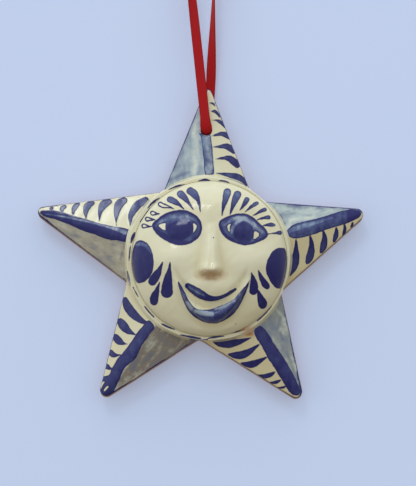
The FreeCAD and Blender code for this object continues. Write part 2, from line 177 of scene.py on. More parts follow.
# Long stripes beside the ridges, each the x and y of its outline's corners
ridge_stripes = (
    ((-1.4, 44.0), (-0.2, 43.5), (2.7, 43.7), (2.95, 43.3), (3.35, 40.1), (3.75, 36.1),
     (4.15, 30.6), (4.15, 29.8), (3.9, 29.6), (1.2, 29.4), (0.95, 29.6), (0.75, 31.5),
     (0.35, 36.1), (-0.15, 41.6), (-0.6, 43)),
    ((-55.1, 16.9), (-54.6, 17.5), (-51.2, 17.8), (-48.1, 17.3), (-43.9, 15.8), (-40.3, 14.9),
     (-35.1, 13.3), (-29.6, 12), (-27.8, 11.9), (-24.6, 11.1), (-24.2, 10.8), (-24.4, 8.7),
     (-25.0, 6.8), (-25.3, 6.5), (-28.6, 7.4), (-30.9, 7.4), (-33.5, 8.1), (-36.4, 9.4),
     (-40.3, 10.5), (-43.9, 12.3), (-47.6, 13.7), (-51.2, 14.9), (-53.8, 15.4)),
    ((28.5, 10.4), (29.3, 11.6), (30.9, 12.8), (34, 13.7), (37.8, 14.5), (41.2, 15.4),
     (44.8, 16.6), (48.3, 17.6), (51.4, 18.1), (53.1, 17.6), (54.3, 16.4), (53.8, 15.4),
     (51.4, 14), (48.3, 12.8), (46, 12.1), (43.1, 11.4), (40.2, 10.2), (36.9, 9.1), (33.1, 8),
     (30.4, 8), (29, 9)),
    ((-17.8, -19.1), (-15.6, -22.1), (-17.4, -23.9), (-18.9, -26.4), (-20.2, -27.9),
     (-21.4, -30.4), (-22.3, -32.5), (-23.7, -33.8), (-26.4, -35.8), (-27.7, -39.3),
     (-28.9, -41.8), (-30.4, -44.6), (-32.6, -45.9), (-34.4, -45.1), (-34.9, -42.8),
     (-34.1, -40.6), (-33.6, -38.8), (-31.2, -38.3), (-31, -36.6), (-29.7, -34.6), (-28.7, -32.6),
     (-27.2, -31.2), (-25.5, -28.9), (-23.9, -26.9), (-22.4, -24.5), (-21.2, -22.9),
     (-19.2, -20.7)),
    ((17.7, -24.8), (17.6, -23.1), (18.2, -21.7), (19.4, -21.3), (20.8, -22.2), (22, -23.6),
     (23.4, -25.5), (24.2, -27.4), (26, -29.8), (27.7, -32.5), (29.6, -35.6), (31.3, -38.7),
     (32.7, -41.8), (33.5, -43.7), (33.2, -45.1), (32, -45.5), (30.3, -44.9), (28.9, -43.2),
     (27.5, -40.6), (25.8, -38.2), (24.4, -35.6), (22.2, -32.5), (20.8, -29.6), (19.6, -27.4)),
)

# Strokes on the face and on the collar round it
bold_lashes = (
    ((-0.5, 16.9, 0.16), (-0.9, 19.2, 0.47), (-1.5, 21.4, 0.86), (-2.7, 23.1, 1.41),
     (-3.9, 23.9, 1.33)),
    ((-2.9, 17.7, 0.16), (-4.5, 20, 0.55), (-5.8, 21.7, 1.09), (-7.2, 22.9, 1.25)),
    ((-6, 17.8, 0.16), (-7.6, 19.4, 0.55), (-9, 20.3, 1.09), (-10.7, 21.1, 1.09)),
    ((6.7, 15.7, 0.16), (7, 18, 0.55), (7.8, 20.8, 1.01), (8.5, 23.5, 1.33)),
    ((9.4, 16.1, 0.16), (10, 18, 0.55), (10.9, 20.4, 1.09), (11.9, 22.7, 1.33)),
    ((12.7, 17.5, 0.2), (13.3, 18.2, 0.39), (14.3, 19.6, 0.78), (15, 21, 0.94)),
    ((14.5, 16.9, 0.16), (15.4, 17.7, 0.35), (17, 19, 0.7), (18.4, 19.8, 0.7)),
    ((17, 15.7, 0.16), (17.8, 15.9, 0.27), (19.5, 17.1, 0.59), (21.1, 17.7, 0.7)),
    ((18.6, 14.3, 0.16), (20.5, 14.9, 0.47), (22.3, 15.1, 0.78)),
    ((20.5, 12.3, 0.16), (22.8, 12.7, 0.78), (24.3, 12.5, 0.47)),
    ((22.1, 9.5, 0.16), (24.4, 9.8, 0.31), (26.2, 9.9, 0.78)),
)
faint_lashes = (
    ((-9.2, 17.8, 0.16), (-11.1, 18.6, 0.55), (-12.9, 18.9, 0.94), (-14, 19.5, 0.94)),
    ((-14.2, 16.3, 0.16), (-15.2, 16.2, 0.47), (-16.6, 16.5, 0.94)),
    ((-15.6, 14.3, 0.16), (-16.6, 14.3, 0.47), (-18.3, 14.5, 0.94)),
    ((-16.2, 12, 0.12), (-17.7, 12, 0.35), (-19.5, 12.2, 0.94)),
)
cheek_drops = (
    ((-13.1, 0.1, 0.16), (-14.2, -2.6, 0.86), (-15.4, -4.6, 1.56), (-16.6, -6.4, 1.41)),
    ((-10.6, 0.1, 0.16), (-10.9, -3, 0.78), (-11.5, -6.5, 1.72), (-11.7, -9.9, 2.03)),
    ((-14.2, -6.7, 0.16), (-15, -9.3, 0.78), (-16, -11.8, 1.56), (-16.1, -13.1, 1.41)),
    ((16.5, -3.4, 0.16), (17.2, -5.8, 0.98), (17.4, -8.1, 1.48), (17.2, -9.5, 1.41)),
    ((18.8, -2.6, 0.16), (19.7, -5, 0.78), (21.1, -7.3, 1.25), (21.8, -8.1, 0.98)),
    ((18.6, -8.9, 0.16), (19.3, -11.2, 0.86), (20.3, -13.6, 1.64), (20.4, -14.2, 1.48)),
)
mouth_line = (
    ((-4.7, -7.8, 1.0), (-2.1, -9.6, 1.5), (0.2, -11, 1.5), (2.6, -12.1, 1.0), (5.3, -12, 0.62),
     (8, -11, 0.6), (10.2, -9.6, 0.55), (11.2, -8.9, 0.4)),
)
collar_dashes = (
    ((-1.3, 27.4, 0.12), (1, 27.9, 0.47), (2.7, 27.5, 0.12)),
    ((-11.3, 24.5, 0.12), (-8.4, 25.7, 0.39), (-5.6, 26.3, 0.12)),
    ((-18.3, 18.2, 0.16), (-16.6, 20.2, 0.47), (-14.4, 21.7, 0.16)),
    ((-20.9, 13.6, 0.12), (-19.1, 16.1, 0.2), (-17.5, 18.4, 0.12)),
    ((-23.9, 6.6, 0.31), (-23.4, 8.5, 0.59), (-22.7, 10, 0.23)),
    ((-24.6, 0.5, 0.16), (-24.4, 3.2, 0.31), (-24.1, 5.6, 0.12)),
    ((-25.2, -3, 0.23), (-24.8, -5.8, 0.55), (-24.2, -8.1, 0.2)),
    ((-23.2, -8.5, 0.16), (-22.4, -10.1, 0.2), (-21.5, -11.6, 0.12)),
    ((-19.3, -14.9, 0.16), (-17.9, -16.7, 0.31), (-16.2, -18.5, 0.16)),
    ((-13.6, -20.8, 0.23), (-11.5, -21.8, 0.39), (-9.2, -22.7, 0.16)),
    ((-7.2, -24.5, 0.16), (-3.7, -25.2, 0.47), (-0.6, -25.7, 0.31)),
    ((-4.1, -26.1, 0.23), (-1.3, -26.5, 0.51), (1.8, -26.1, 0.2)),
    ((2, -25.7, 0.16), (4.1, -25.3, 0.39), (7.4, -24.9, 0.16)),
    ((10, -24.1, 0.12), (12.3, -23.3, 0.27), (14.3, -22.6, 0.12)),
    ((18.6, -19.8, 0.16), (21.3, -17.5, 0.27), (23.6, -14.7, 0.12)),
)
faint_collar_dash = (
    ((5.7, 27.5, 0.12), (7.2, 27.5, 0.35), (9.2, 26.8, 0.12)),
)

# Patches on the face, as outlines
eye_outlines = (
    ((-16.8, 13), (-14.6, 14.9), (-12.3, 16.5), (-9.9, 17.3), (-6.8, 17.7), (-4.5, 17.2),
     (-2.1, 16), (-0.6, 14.3), (0.2, 12.2), (0, 10), (-1, 8.3), (-2.9, 6.7), (-5.3, 5.7),
     (-7.6, 5.6), (-10.3, 6.3), (-13.1, 7.7), (-15.4, 9.5), (-16.6, 11.4)),
    ((5.3, 13.2), (6.7, 14.6), (9.2, 15.7), (12.3, 16.5), (15, 16.3), (17, 15.3), (18.9, 13.4),
     (20.9, 11.8), (22.3, 9.8), (21.7, 8.1), (18.9, 6.7), (15.8, 5.7), (13.1, 5.7), (10.4, 6.7),
     (8, 7.9), (6.1, 10.2)),
)
eye_whites = (
    ((-14.9, 12.5), (-12, 13.3), (-12.3, 12), (-12.2, 10.6), (-13.6, 11.4)),
    ((-3, 13.3), (-1.9, 12.4), (-1.7, 11.8), (-2.3, 10.6), (-3, 9.7), (-2.7, 11.4)),
    ((8.4, 12.4), (9.7, 13), (9.2, 11.8), (9.3, 10), (8.6, 11)),
    ((17.5, 10.7), (19.6, 9.3), (17, 7.4), (17.4, 9.1)),
)
cheek_outlines = (
    ((-22.4, 6.7), (-20.9, 7.6), (-18.9, 7), (-17.2, 5.2), (-16.2, 2), (-16, -1.1), (-16.6, -3.8),
     (-18.5, -6.2), (-21.3, -7.4), (-22.6, -6.2), (-23.4, -3), (-23.8, 0.9), (-23.3, 4.4)),
    ((21.2, -1.5), (21.7, 0.5), (23.2, 3.4), (24.8, 4.6), (26.8, 5.1), (28.3, 4.4), (28.8, 0.9),
     (28.5, -3.8), (27.3, -7.7), (26.3, -9.1), (24.4, -8.5), (22.7, -6.2), (21.5, -3.8)),
)
lip_outline = (
    (-8.3, -6), (-7.2, -10.1), (-6, -13.6), (-4.1, -17.1), (-1, -19.4), (2.6, -20.6), (6.1, -20.2),
    (9.2, -18.6), (11.8, -15.9), (13.7, -12.4), (15.2, -8.9), (16.2, -5.6), (14.9, -7.2),
    (12.5, -10), (10.9, -12.1), (9, -13.2), (6.4, -14.4), (3, -15.7), (-0.6, -15.8), (-2.5, -15.1),
    (-4.1, -13.2), (-5.6, -10.1), (-7.2, -6.9),
)

# Lights and shades inside the paint, as strokes
lower_left_glints = (
    ((-34.7, -43.4, 0.25), (-34.1, -41.4, 0.4), (-33.2, -40.7, 0.2)),
    ((-33.2, -43.6, 0.2), (-32.3, -42.6, 0.4), (-31.9, -42.2, 0.2)),
)
# Painted highlight: the stripes' paint is lighter along the half that lies on the lit upper facet
left_stripe_painted_highlight = ((-52.9, 16.3, 0.3), (-46, 15.3, 0.35), (-40.3, 14, 0.4), (-34.6, 12.8, 0.4),
                     (-29, 11.3, 0.65), (-26.2, 10.2, 0.95))
right_stripe_painted_highlight = ((29.4, 10.6, 0.8), (33, 11.8, 0.85), (37, 12.9, 0.65), (41, 14.1, 0.45),
                      (44, 15, 0.3))

# Irises: x, y and half width and height
irises_at = ((-7.4, 11.2, 4.4, 3.7), (13.9, 10.0, 3.3, 3.7))
# Lighter paint in the irises: pale paint in the left eye, a painted reflection in the right
iris_pale_paint_and_reflections = (
    ((-10.9, 13.0, 0.3), (-9.2, 14.3, 0.45), (-6.4, 14.6, 0.45), (-4.3, 13.8, 0.25)),
    ((10.0, 10.2, 0.4), (10.5, 12.4, 0.7), (12.9, 13.9, 0.6)),
)
eye_shades = (
    ((-15.6, 10.8, 0.6), (-12.8, 8.7, 0.9), (-9.2, 7.2, 0.8), (-5, 6.6, 0.5)),
    ((5.9, 12.4, 0.2), (7.6, 9.2, 0.3), (10.6, 7.2, 0.35)),
)
cheek_light = ((-22.0, 6.0, 0.5), (-19.8, 6.3, 0.7), (-18.2, 5.4, 0.7), (-17.0, 3.4, 0.5))
mouth_light = ((-4.4, -8.1, 0.3), (-1.8, -9.8, 0.35), (0.6, -11, 0.3))
eye_lids = (
    ((-15.4, 12.2, 0.3), (-11.5, 15.0, 0.8), (-6.5, 15.9, 0.7), (-2.2, 14.0, 0.3)),
    ((7.6, 12.6, 0.3), (11.0, 15.0, 0.8), (15.5, 14.4, 0.8), (20.2, 10.0, 0.4)),
)
# Paler, watery paint on the lower lip, partly a painted highlight along its top where the glaze
# shines
lip_pale_paint_and_shine = (
    ((-2.1, -16.2, 0.3), (0.6, -16.9, 0.6), (3.4, -17.1, 0.4)),
    ((4.6, -15.4, 0.2), (6.8, -14.7, 0.5), (9.4, -13.3, 0.4), (10.6, -12.6, 0.2)),
    ((-4.9, -13.3, 0.2), (-3.5, -15.2, 0.4)),
    ((10.2, -12.6, 0.2), (12.0, -10.2, 0.3)),
)
kiln_specks = ((3.8, 8.3), (11.3, -20.6))

# Marks of the wash: how much denser and bluer (or paler, below zero), softness, and the stroke
wash_marks = (
    (-0.7, 0.9, ((-1.6, 53, 0.3), (-2.3, 46, 0.8), (-2.0, 40, 1.0), (-2.0, 34.5, 1.4),
     (-2.6, 31, 1.5))),
    (0.45, 1.6, ((-4.5, 48, 0.5), (-6.0, 40, 1.4), (-8.5, 33, 1.8))),
    (1.0, 0.6, ((-11.6, 27.6, 0.6), (-8.0, 29.2, 0.55), (-4.2, 30.4, 0.3))),
    (0.9, 0.8, ((-12.9, 26.4, 0.8), (-11.6, 28.4, 0.5))),
    (0.8, 0.5, ((-26.3, 5.7, 0.3), (-26.9, 3.6, 0.35), (-27.7, 0.6, 0.2))),
    (0.9, 0.5, ((-31.4, 1.9, 0.25), (-30.8, 1.8, 0.25))),
    (0.35, 1.5, ((-45, 9.5, 0.6), (-37, 5, 1.0))),
    (0.7, 1.1, ((-16.6, -29.2, 0.5), (-17.5, -31.4, 0.9), (-19.4, -33.6, 0.4))),
    (0.5, 0.8, ((-21.6, -33.6, 0.4), (-24, -36.6, 0.4))),
    (-0.8, 0.35, ((-20.1, -27.6, 0.1), (-22.5, -32.0, 0.15), (-27.0, -37.0, 0.5),
     (-30.3, -43.6, 0.2))),
    (-0.5, 0.5, ((-8.2, -30.9, 0.2), (-19.9, -38.0, 0.45), (-28.6, -43.0, 0.3))),
    (0.8, 0.6, ((26.6, -18.2, 0.3), (26.1, -20.8, 0.55), (25.5, -22.9, 0.3))),
    (1.0, 0.5, ((26.6, -23.8, 0.25), (27.3, -26.4, 0.45))),
    (-0.6, 0.8, ((28.2, -19.5, 0.5), (29.6, -26, 0.7), (32.4, -38, 0.4))),
    (0.6, 0.5, ((28.7, -30.5, 0.3), (30.2, -34.6, 0.45), (32.5, -40, 0.2))),
    (0.5, 0.7, ((26.4, 19.9, 0.4), (35.1, 18.4, 0.5), (48.2, 18.6, 0.2))),
    (1.0, 0.6, ((23.9, 18.4, 0.3), (26.2, 15.8, 0.6), (27.8, 12.8, 0.5))),
    (0.55, 0.6, ((26.6, 15.9, 0.3), (32.9, 16.5, 0.6), (37, 15.7, 0.3))),
    (-0.8, 0.7, ((27.6, 18.0, 0.5), (30.2, 17.8, 0.4))),
    (-0.9, 0.6, ((29.9, 14.0, 0.5), (33.4, 14.9, 0.4), (37.6, 15.2, 0.2))),
)

# Tint of the clay under the glaze, and what shows through the thin wash on each washed facet; the
# last two, on facets that face downwards, are darker in part as painted shade
plain_tint = (np.array((225, 220, 190)) / 255) ** 2.2
wash_tints = (np.array(((172, 190, 194), (150, 170, 184), (172, 168, 152), (128, 121, 114),
                        (132, 142, 144))) / 255) ** 2.2

# Pooled glaze and painted shade on the facets that face downwards: how much on each facet,
# counter-clockwise from the right tip
facet_pools = np.array((0, 0, 0, 0, 0, 0.1, 0, 0.75, 0, 0.8))


def hang(points):
    """From millimetres on the star lying on its back to metres as it hangs."""
    x, y, z = points.T
    return np.stack([x + hung_x - hole_x, back_plane - z, y - hole_y - hang_drop], 1) * mm


def smooth_step(value, low, high):
    share = np.clip((value - low) / (high - low), 0, 1)
    return share * share * (3 - 2 * share)


def bump(u, v, cu, cv, wu, wv, power=1.0):
    """Soft form that is 1 at its middle cu, cv."""
    return np.exp(-(((u - cu) / wu) ** 2 + ((v - cv) / wv) ** 2) ** power)


def hand_ripple(x, y, period):
    """Slow unevenness of hand-pressed clay, between -1 and 1."""
    a, b = x * (2 * math.pi / period), y * (2 * math.pi / period)
    waves = np.sin(a + 1.3 * np.sin(0.7 * b + 0.4)) + np.sin(1.1 * b + 1.7 * np.sin(0.6 * a + 2.1))
    return 0.5 * waves * np.cos(0.43 * a - 0.37 * b + 0.9)


def unit(vectors):
    return vectors / np.linalg.norm(vectors, axis=1)[:, None]


def circle(turn):
    return np.stack([np.cos(turn), np.sin(turn)], 1)


def quarter_turn(steps):
    """Sine and cosine at even steps up to a right angle."""
    return [(math.sin(angle), math.cos(angle)) for angle in np.linspace(0, math.pi / 2, steps)]


def run_lengths(line):
    """Length of a line up to each of its places."""
    return np.append(0, np.cumsum(np.linalg.norm(np.diff(line, axis=0), axis=1)))


def at_shares(line, shares):
    """Places at some shares of a line's length."""
    lengths = run_lengths(line)
    return np.stack([np.interp(shares * lengths[-1], lengths, part) for part in line.T], 1)


# Painting


def rounded(points, closed, turns=2):
    """Line with its corners cut away turn by turn, so that a few places give a brush's curve."""
    line = np.array(points, float)
    for _ in range(turns):
        after = np.roll(line, -1, 0)
        near, far = line * 0.75 + after * 0.25, line * 0.25 + after * 0.75
        cut = np.stack([near, far], 1).reshape(-1, line.shape[1])
        line = cut if closed else np.concatenate([line[:1], cut[:-2], line[-1:]])
    return line


def off_segment(x, y, px, py, qx, qy):
    """Share of the way from p to q that is nearest to each place, and the distance to it."""
    wide, tall = qx - px, qy - py
    share = np.clip(((x - px) * wide + (y - py) * tall) / (wide ** 2 + tall ** 2), 0, 1)
    return share, np.hypot(x - px - share * wide, y - py - share * tall)


def stroke_distance(x, y, stroke):
    """Distance outside a brush stroke, negative inside, and the share of the way to its head."""
    line = rounded(stroke, False)
    starts = run_lengths(line[:, :2])
    best, share = np.full(len(x), far_off), np.zeros(len(x))
    for (px, py, pr), (qx, qy, qr), start, end in zip(line, line[1:], starts, starts[1:]):
        step, off = off_segment(x, y, px, py, qx, qy)
        off = off - pr - step * (qr - pr)
        share = np.where(off < best, (start + step * (end - start)) / starts[-1], share)
        best = np.minimum(best, off)
    return best, share


def nearest_stroke(x, y, strokes):
    """Distance outside the nearest of some strokes."""
    return np.min([stroke_distance(x, y, stroke)[0] for stroke in strokes], 0)


def outline_distance(x, y, outline, turns=2):
    """Distance outside a painted patch, negative inside."""
    corners = rounded(outline, True, turns)
    best, inside = np.full(len(x), far_off), np.zeros(len(x), bool)
    for (px, py), (qx, qy) in zip(corners, np.roll(corners, -1, 0)):
        best = np.minimum(best, off_segment(x, y, px, py, qx, qy)[1])
        meets = x < px + (y - py) * (qx - px) / (qy - py if qy != py else 1)
        inside ^= ((py > y) != (qy > y)) & meets
    return np.where(inside, -best, best)


def nearest_outline(x, y, outlines, turns=2):
    return np.min([outline_distance(x, y, outline, turns) for outline in outlines], 0)


class Painting:
    """Cobalt on one piece: distance from the paint's edge, and how heavily it is loaded."""

    def __init__(self, x, y):
        self.x, self.y = x, y
        self.ink = np.full(len(x), unpainted)
        self.load = np.full(len(x), 0.5)

    def lay(self, distance, load):
        self.load = np.where(distance < self.ink, load, self.load)
        self.ink = np.minimum(self.ink, distance)

    def strokes(self, table, tail_load, head_load):
        for stroke in table:
            distance, share = stroke_distance(self.x, self.y, stroke)
            self.lay(distance, tail_load + (head_load - tail_load) * share)

    def patches(self, table, loads):
        for outline, load in zip(table, loads):
            self.lay(outline_distance(self.x, self.y, outline), load)

    def leave(self, distance):
        """Leaves places bare inside what is painted."""
        self.ink = np.maximum(self.ink, -distance)

    def shade(self, strokes, amount, outer, inner, where=True):
        """Loads the paint more inside some strokes, or less where the amount is below zero."""
        depth = -nearest_stroke(self.x, self.y, strokes)
        self.load = self.load + where * amount * smooth_step(depth, outer, inner)

    def collar(self):
        self.strokes(collar_dashes, 0.9, 0.75)
        self.strokes(faint_collar_dash, 0.35, 0.35)


# Sheets, objects and their notes


def numbered_sheet(rings, columns, closed):
    """Sheet of rings round an axis whose vertices know their ring and column."""
    bm = bmesh.new()
    rows = rings + 1 if closed else rings
    bmesh.ops.create_grid(bm, x_segments=columns, y_segments=rows - 1, size=1)
    grid = np.array([v.co for v in bm.verts])
    column = np.round((grid[:, 0] + 1) / 2 * columns).astype(int) % columns
    ring = np.round((grid[:, 1] + 1) / 2 * (rows - 1)).astype(int) % rings
    return bm, ring, column


def placed(bm, places):
    """Moves every vertex to its place and closes the seams."""
    for vertex, place in zip(bm.verts, places):
        vertex.co = place
    rim = [vertex for vertex in bm.verts if vertex.is_boundary]
    bmesh.ops.remove_doubles(bm, verts=rim, dist=1e-6)


def linked(name, data):
    """New object in the scene."""
    obj = bpy.data.objects.new(name, data)
    bpy.context.scene.collection.objects.link(obj)
    return obj


def made(name, bm):
    """Object from a bmesh, smooth, with its faces outwards."""
    bmesh.ops.recalc_face_normals(bm, faces=bm.faces)
    for face in bm.faces:
        face.smooth = True
    mesh = bpy.data.meshes.new(name)
    bm.to_mesh(mesh)
    bm.free()
    return linked(name, mesh)


def faced_out(obj, merge=0.0):
    """Turns the faces outwards again, after joining vertices that lie closer than merge."""
    bm = bmesh.new()
    bm.from_mesh(obj.data)
    if merge:
        bmesh.ops.remove_doubles(bm, verts=bm.verts, dist=merge)
    bmesh.ops.recalc_face_normals(bm, faces=bm.faces)
    bm.to_mesh(obj.data)
    bm.free()


def evaluated_mesh(obj):
    graph = bpy.context.evaluated_depsgraph_get()
    return bpy.data.meshes.new_from_object(obj.evaluated_get(graph))


def places_of(obj):
    co = np.empty(len(obj.data.vertices) * 3)
    obj.data.vertices.foreach_get("co", co)
    return co.reshape(-1, 3)


def set_places(obj, places):
    obj.data.vertices.foreach_set("co", places.ravel())
    obj.data.update()


def note(obj, **layers):
    """Stores numbers or colours per vertex, for the material."""
    for name, values in layers.items():
        values = np.asarray(values, np.float32)
        kind, field = "FLOAT", "value"
        if values.ndim == 2:
            values = np.concatenate([values, np.ones((len(values), 1), np.float32)], 1)
            kind, field = "FLOAT_COLOR", "color"
        layer = obj.data.attributes.new(name, kind, "POINT")
        layer.data.foreach_set(field, values.ravel())


def note_unwashed(obj, painting, pool, thin):
    """Notes of a piece without the thin wash, its brush streaks lying across it."""
    x, y, _ = places_of(obj).T
    note(obj, ink=painting.ink, load=painting.load, pool=pool, thin=thin,
         wash=np.full(len(x), unwashed), veil=np.zeros(len(x)),
         tint=np.tile(plain_tint, (len(x), 1)),
         brushed=np.stack([y, x, np.full(len(x), mid_facet)], 1))


def bore(obj, x, y, corners, columns=72):
    """Takes a round hole out of obj; corners are its (radius, height) from foot to head."""
    bm = bmesh.new()
    corners = [(0, corners[0][1]), *corners, (0, corners[-1][1])]
    chain = [bm.verts.new((radius, 0, height)) for radius, height in corners]
    edges = [bm.edges.new(pair) for pair in zip(chain, chain[1:])]
    bmesh.ops.spin(bm, geom=chain + edges, cent=(0, 0, 0), axis=(0, 0, 1), dvec=(0, 0, 0),
                   angle=2 * math.pi, steps=columns, use_merge=True, use_normal_flip=False,
                   use_duplicate=False)
    bmesh.ops.remove_doubles(bm, verts=bm.verts, dist=1e-5)
    cutter = made("cutter", bm)
    set_places(cutter, places_of(cutter) + (x, y, 0))
    cut = obj.modifiers.new("bore", "BOOLEAN")
    cut.operation = "DIFFERENCE"
    cut.solver = "EXACT"
    cut.object = cutter
    mesh = evaluated_mesh(obj)
    obj.modifiers.clear()
    obj.data = mesh
    bpy.data.objects.remove(cutter)
    for polygon in mesh.polygons:
        polygon.use_smooth = True


# Star


def outline_line(inset, per_side):
    """The star's rounded outline, moved inwards, with per_side places from corner to corner."""
    along = unit(np.roll(star_corners, -1, 0) - star_corners)
    outward = np.stack([along[:, 1], -along[:, 0]], 1)
    arcs = []
    for corner, rounding, before, after in zip(star_corners, corner_roundings,
                                               np.roll(outward, 1, 0), outward):
        middle = (before + after) / np.hypot(*(before + after))
        centre = corner - middle * rounding / (before @ middle)
        radius = max(rounding - inset, sharpest_tip) if rounding > 0 else rounding - inset
        start, end = math.atan2(before[1], before[0]), math.atan2(after[1], after[0])
        turn = (end - start + math.pi) % (2 * math.pi) - math.pi
        arcs.append(centre + radius * circle(start + turn * np.linspace(0, 1, 17)))
    shares = np.arange(per_side) / per_side
    shares = shares - 0.35 * np.sin(2 * math.pi * shares) / (2 * math.pi)
    return np.concatenate([at_shares(np.concatenate([arc[8:], following[:9]]), shares)
                           for arc, following in zip(arcs, arcs[1:] + arcs[:1])])


def distance_inside(x, y):
    """How far inside the star's outline each place is."""
    return -outline_distance(x, y, outline_line(0, 24), 0)


def facet_of(x, y):
    """Which facet lies under each place, counted from the first tip."""
    starts = corner_angles - corner_angles[0]
    turn = (np.degrees(np.arctan2(y, x)) - corner_angles[0]) % 360
    return np.searchsorted(starts, turn, side="right") - 1


def star_height(x, y):
    """Roof with soft ridges and glaze-filled valleys, slightly uneven from the hand."""
    planes = []
    for pair in zip(star_corners, np.roll(star_corners, -1, 0)):
        slope = np.linalg.solve(pair, [rim_height - roof_height] * 2)
        planes.append(roof_height + slope[0] * x + slope[1] * y)
    planes = np.array(planes)
    facet, spot = facet_of(x, y), np.arange(len(x))
    here = planes[facet, spot]
    height = here.copy()
    for step in (-1, 1):
        gap = here - planes[(facet + step) % 10, spot]
        ridge = (facet % 2 == 0) == (step == -1)
        soft = np.where(ridge, 0.75, 0.9)
        bend = (np.sqrt(gap ** 2 + soft ** 2) - np.abs(gap)) / 2
        height += np.where(ridge, -bend, bend)
    return height + 0.13 * hand_ripple(x, y, 23.0) + 0.05 * hand_ripple(y, x, 8.0)


def star_skin(name, levels, per_side, closed):
    """Sheet of rings inside the star's outline, each one (kind, amount, height).

    The amount is a roof ring's share of the way out, an inner ring's reach or else an inset.
    """
    bm, ring, column = numbered_sheet(len(levels), per_side * 10, closed)
    way = unit(outline_line(0, per_side))
    edge = outline_line(rim_start_inset, per_side)
    table = np.empty((len(levels), len(way), 3))
    for places, (kind, amount, height) in zip(table, levels):
        if kind == "roof":
            flat = way * star_inner_reach + (edge - way * star_inner_reach) * amount
        elif kind == "inner":
            flat = way * amount
        else:
            flat = outline_line(amount, per_side)
        flat = flat + way * (0.12 * hand_ripple(*flat.T, 17.0))[:, None]
        if kind == "roof":
            height = edge_height = star_height(*flat.T)
        elif kind == "rim":
            height = height + (edge_height - rim_top) * smooth_step(height, glaze_foot, rim_top)
        places[:, :2] = flat
        places[:, 2] = height
    placed(bm, table[ring, column])
    return made(name, bm)


def make_star():
    levels = [("roof", share, None) for share in np.linspace(0, 1, 76)]
    for angle in np.linspace(rim_slope, math.pi / 2, 7)[1:]:
        levels.append(("rim", rim_radius * (1 - math.sin(angle)),
                       rim_centre + rim_radius * math.cos(angle)))
    levels += [("wall", 0, 3.1), ("wall", 0, slab_thickness + 0.05),
               ("wall", 1.5, slab_thickness), ("inner", star_inner_reach, slab_thickness)]
    star = star_skin("painted_star", levels, 100, True)
    front = star_height(np.array([hole_x]), np.array([hole_y]))[0]
    lip = [(hole_radius + 0.75 * (1 - cosine), front - 0.95 + 0.75 * sine)
           for sine, cosine in quarter_turn(6)]
    bore(star, hole_x, hole_y, [(hole_radius, 1.0), *lip, (hole_radius + 1.1, front + 0.6)])
    paint_star(star)
    return star


def paint_star(star):
    x, y, z = places_of(star).T
    painting = Painting(x, y)
    for table, tail_load, head_load in (
            (top_ray_strokes, 0.32, 0.88), (left_ray_strokes, 0.34, 0.62),
            (right_ray_strokes, 0.9, 0.66), (lower_left_strokes, 0.9, 0.7),
            (lower_right_strokes, 0.95, 0.8)):
        painting.strokes(table, tail_load, head_load)
    painting.patches(ridge_stripes, (0.22, 0.9, 0.58, 0.74, 0.84))
    painting.load += 0.4 * smooth_step(x, 48.6, 50) * (painting.ink < 0.5)
    painting.leave(nearest_stroke(x, y, lower_left_glints))
    # Painted highlight: lighter paint along the stripes' lit upper halves
    painting.shade([left_stripe_painted_highlight], -0.62, -0.2, 0.3)
    painting.shade([right_stripe_painted_highlight], -0.3, -0.2, 0.3)

    # Line along the outer edge, on the wall or just inside it, wider where a facet is washed
    inset = distance_inside(x, y)
    facet = facet_of(x, y)
    washed = facet % 2 == 0
    width = np.where(washed, 0.5, 0.26) * (1 + 0.3 * hand_ripple(x, y, 9.0))
    edge_line = np.where(z < rim_top, np.abs(z - edge_line_height) - width, inset - 0.9 * width)
    painting.lay(np.where(inset < 3, edge_line, unpainted), np.where(washed, 0.8, 0.6))

    # Where each place lies along and across its ray, and how far from ridge and valley
    along, across = np.zeros((2, len(x)))
    ridge, valley = np.full((2, len(x)), far_off)
    for index, (cx, cy) in enumerate(unit(star_corners)):
        beside = (facet == index) | (facet == (index - 1) % 10)
        off = x * cy - y * cx
        if index % 2 == 0:
            ridge = np.where(beside, np.abs(off), ridge)
            along = np.where(beside, x * cx + y * cy, along)
            across = np.where(beside, off, across)
        else:
            valley = np.where(beside, np.abs(off), valley)

    veil = np.zeros(len(x))
    for amount, soft, mark in wash_marks:
        veil += amount * smooth_step(-stroke_distance(x, y, mark)[0], -soft, soft)
    worn = 1.2 * bump(x, y, 16.0, -23.9, 2.4, 1.2) * (painting.ink > 0.2)
    from_coil = np.hypot(x - coil_ring[0], y - coil_ring[1]) - coil_ring[2]
    pooled = 0.4 * smooth_step(-from_coil, -2.2, -0.4) + 0.4 * smooth_step(-valley, -2.0, 0)
    # The pool attribute also carries painted shade on the facets that face downwards
    note(star, ink=painting.ink, load=painting.load, veil=veil,
         wash=np.where(washed & (z > wash_foot), np.minimum(ridge, valley), -ridge),
         tint=np.where(washed[:, None], wash_tints[facet // 2], plain_tint),
         brushed=np.stack([along, across + 40 * facet, inset], 1),
         thin=np.maximum(worn, 0.9 * smooth_step(glaze_foot - z, 0, 0.5)),
         pool=np.clip(pooled + facet_pools[facet], 0, 1))


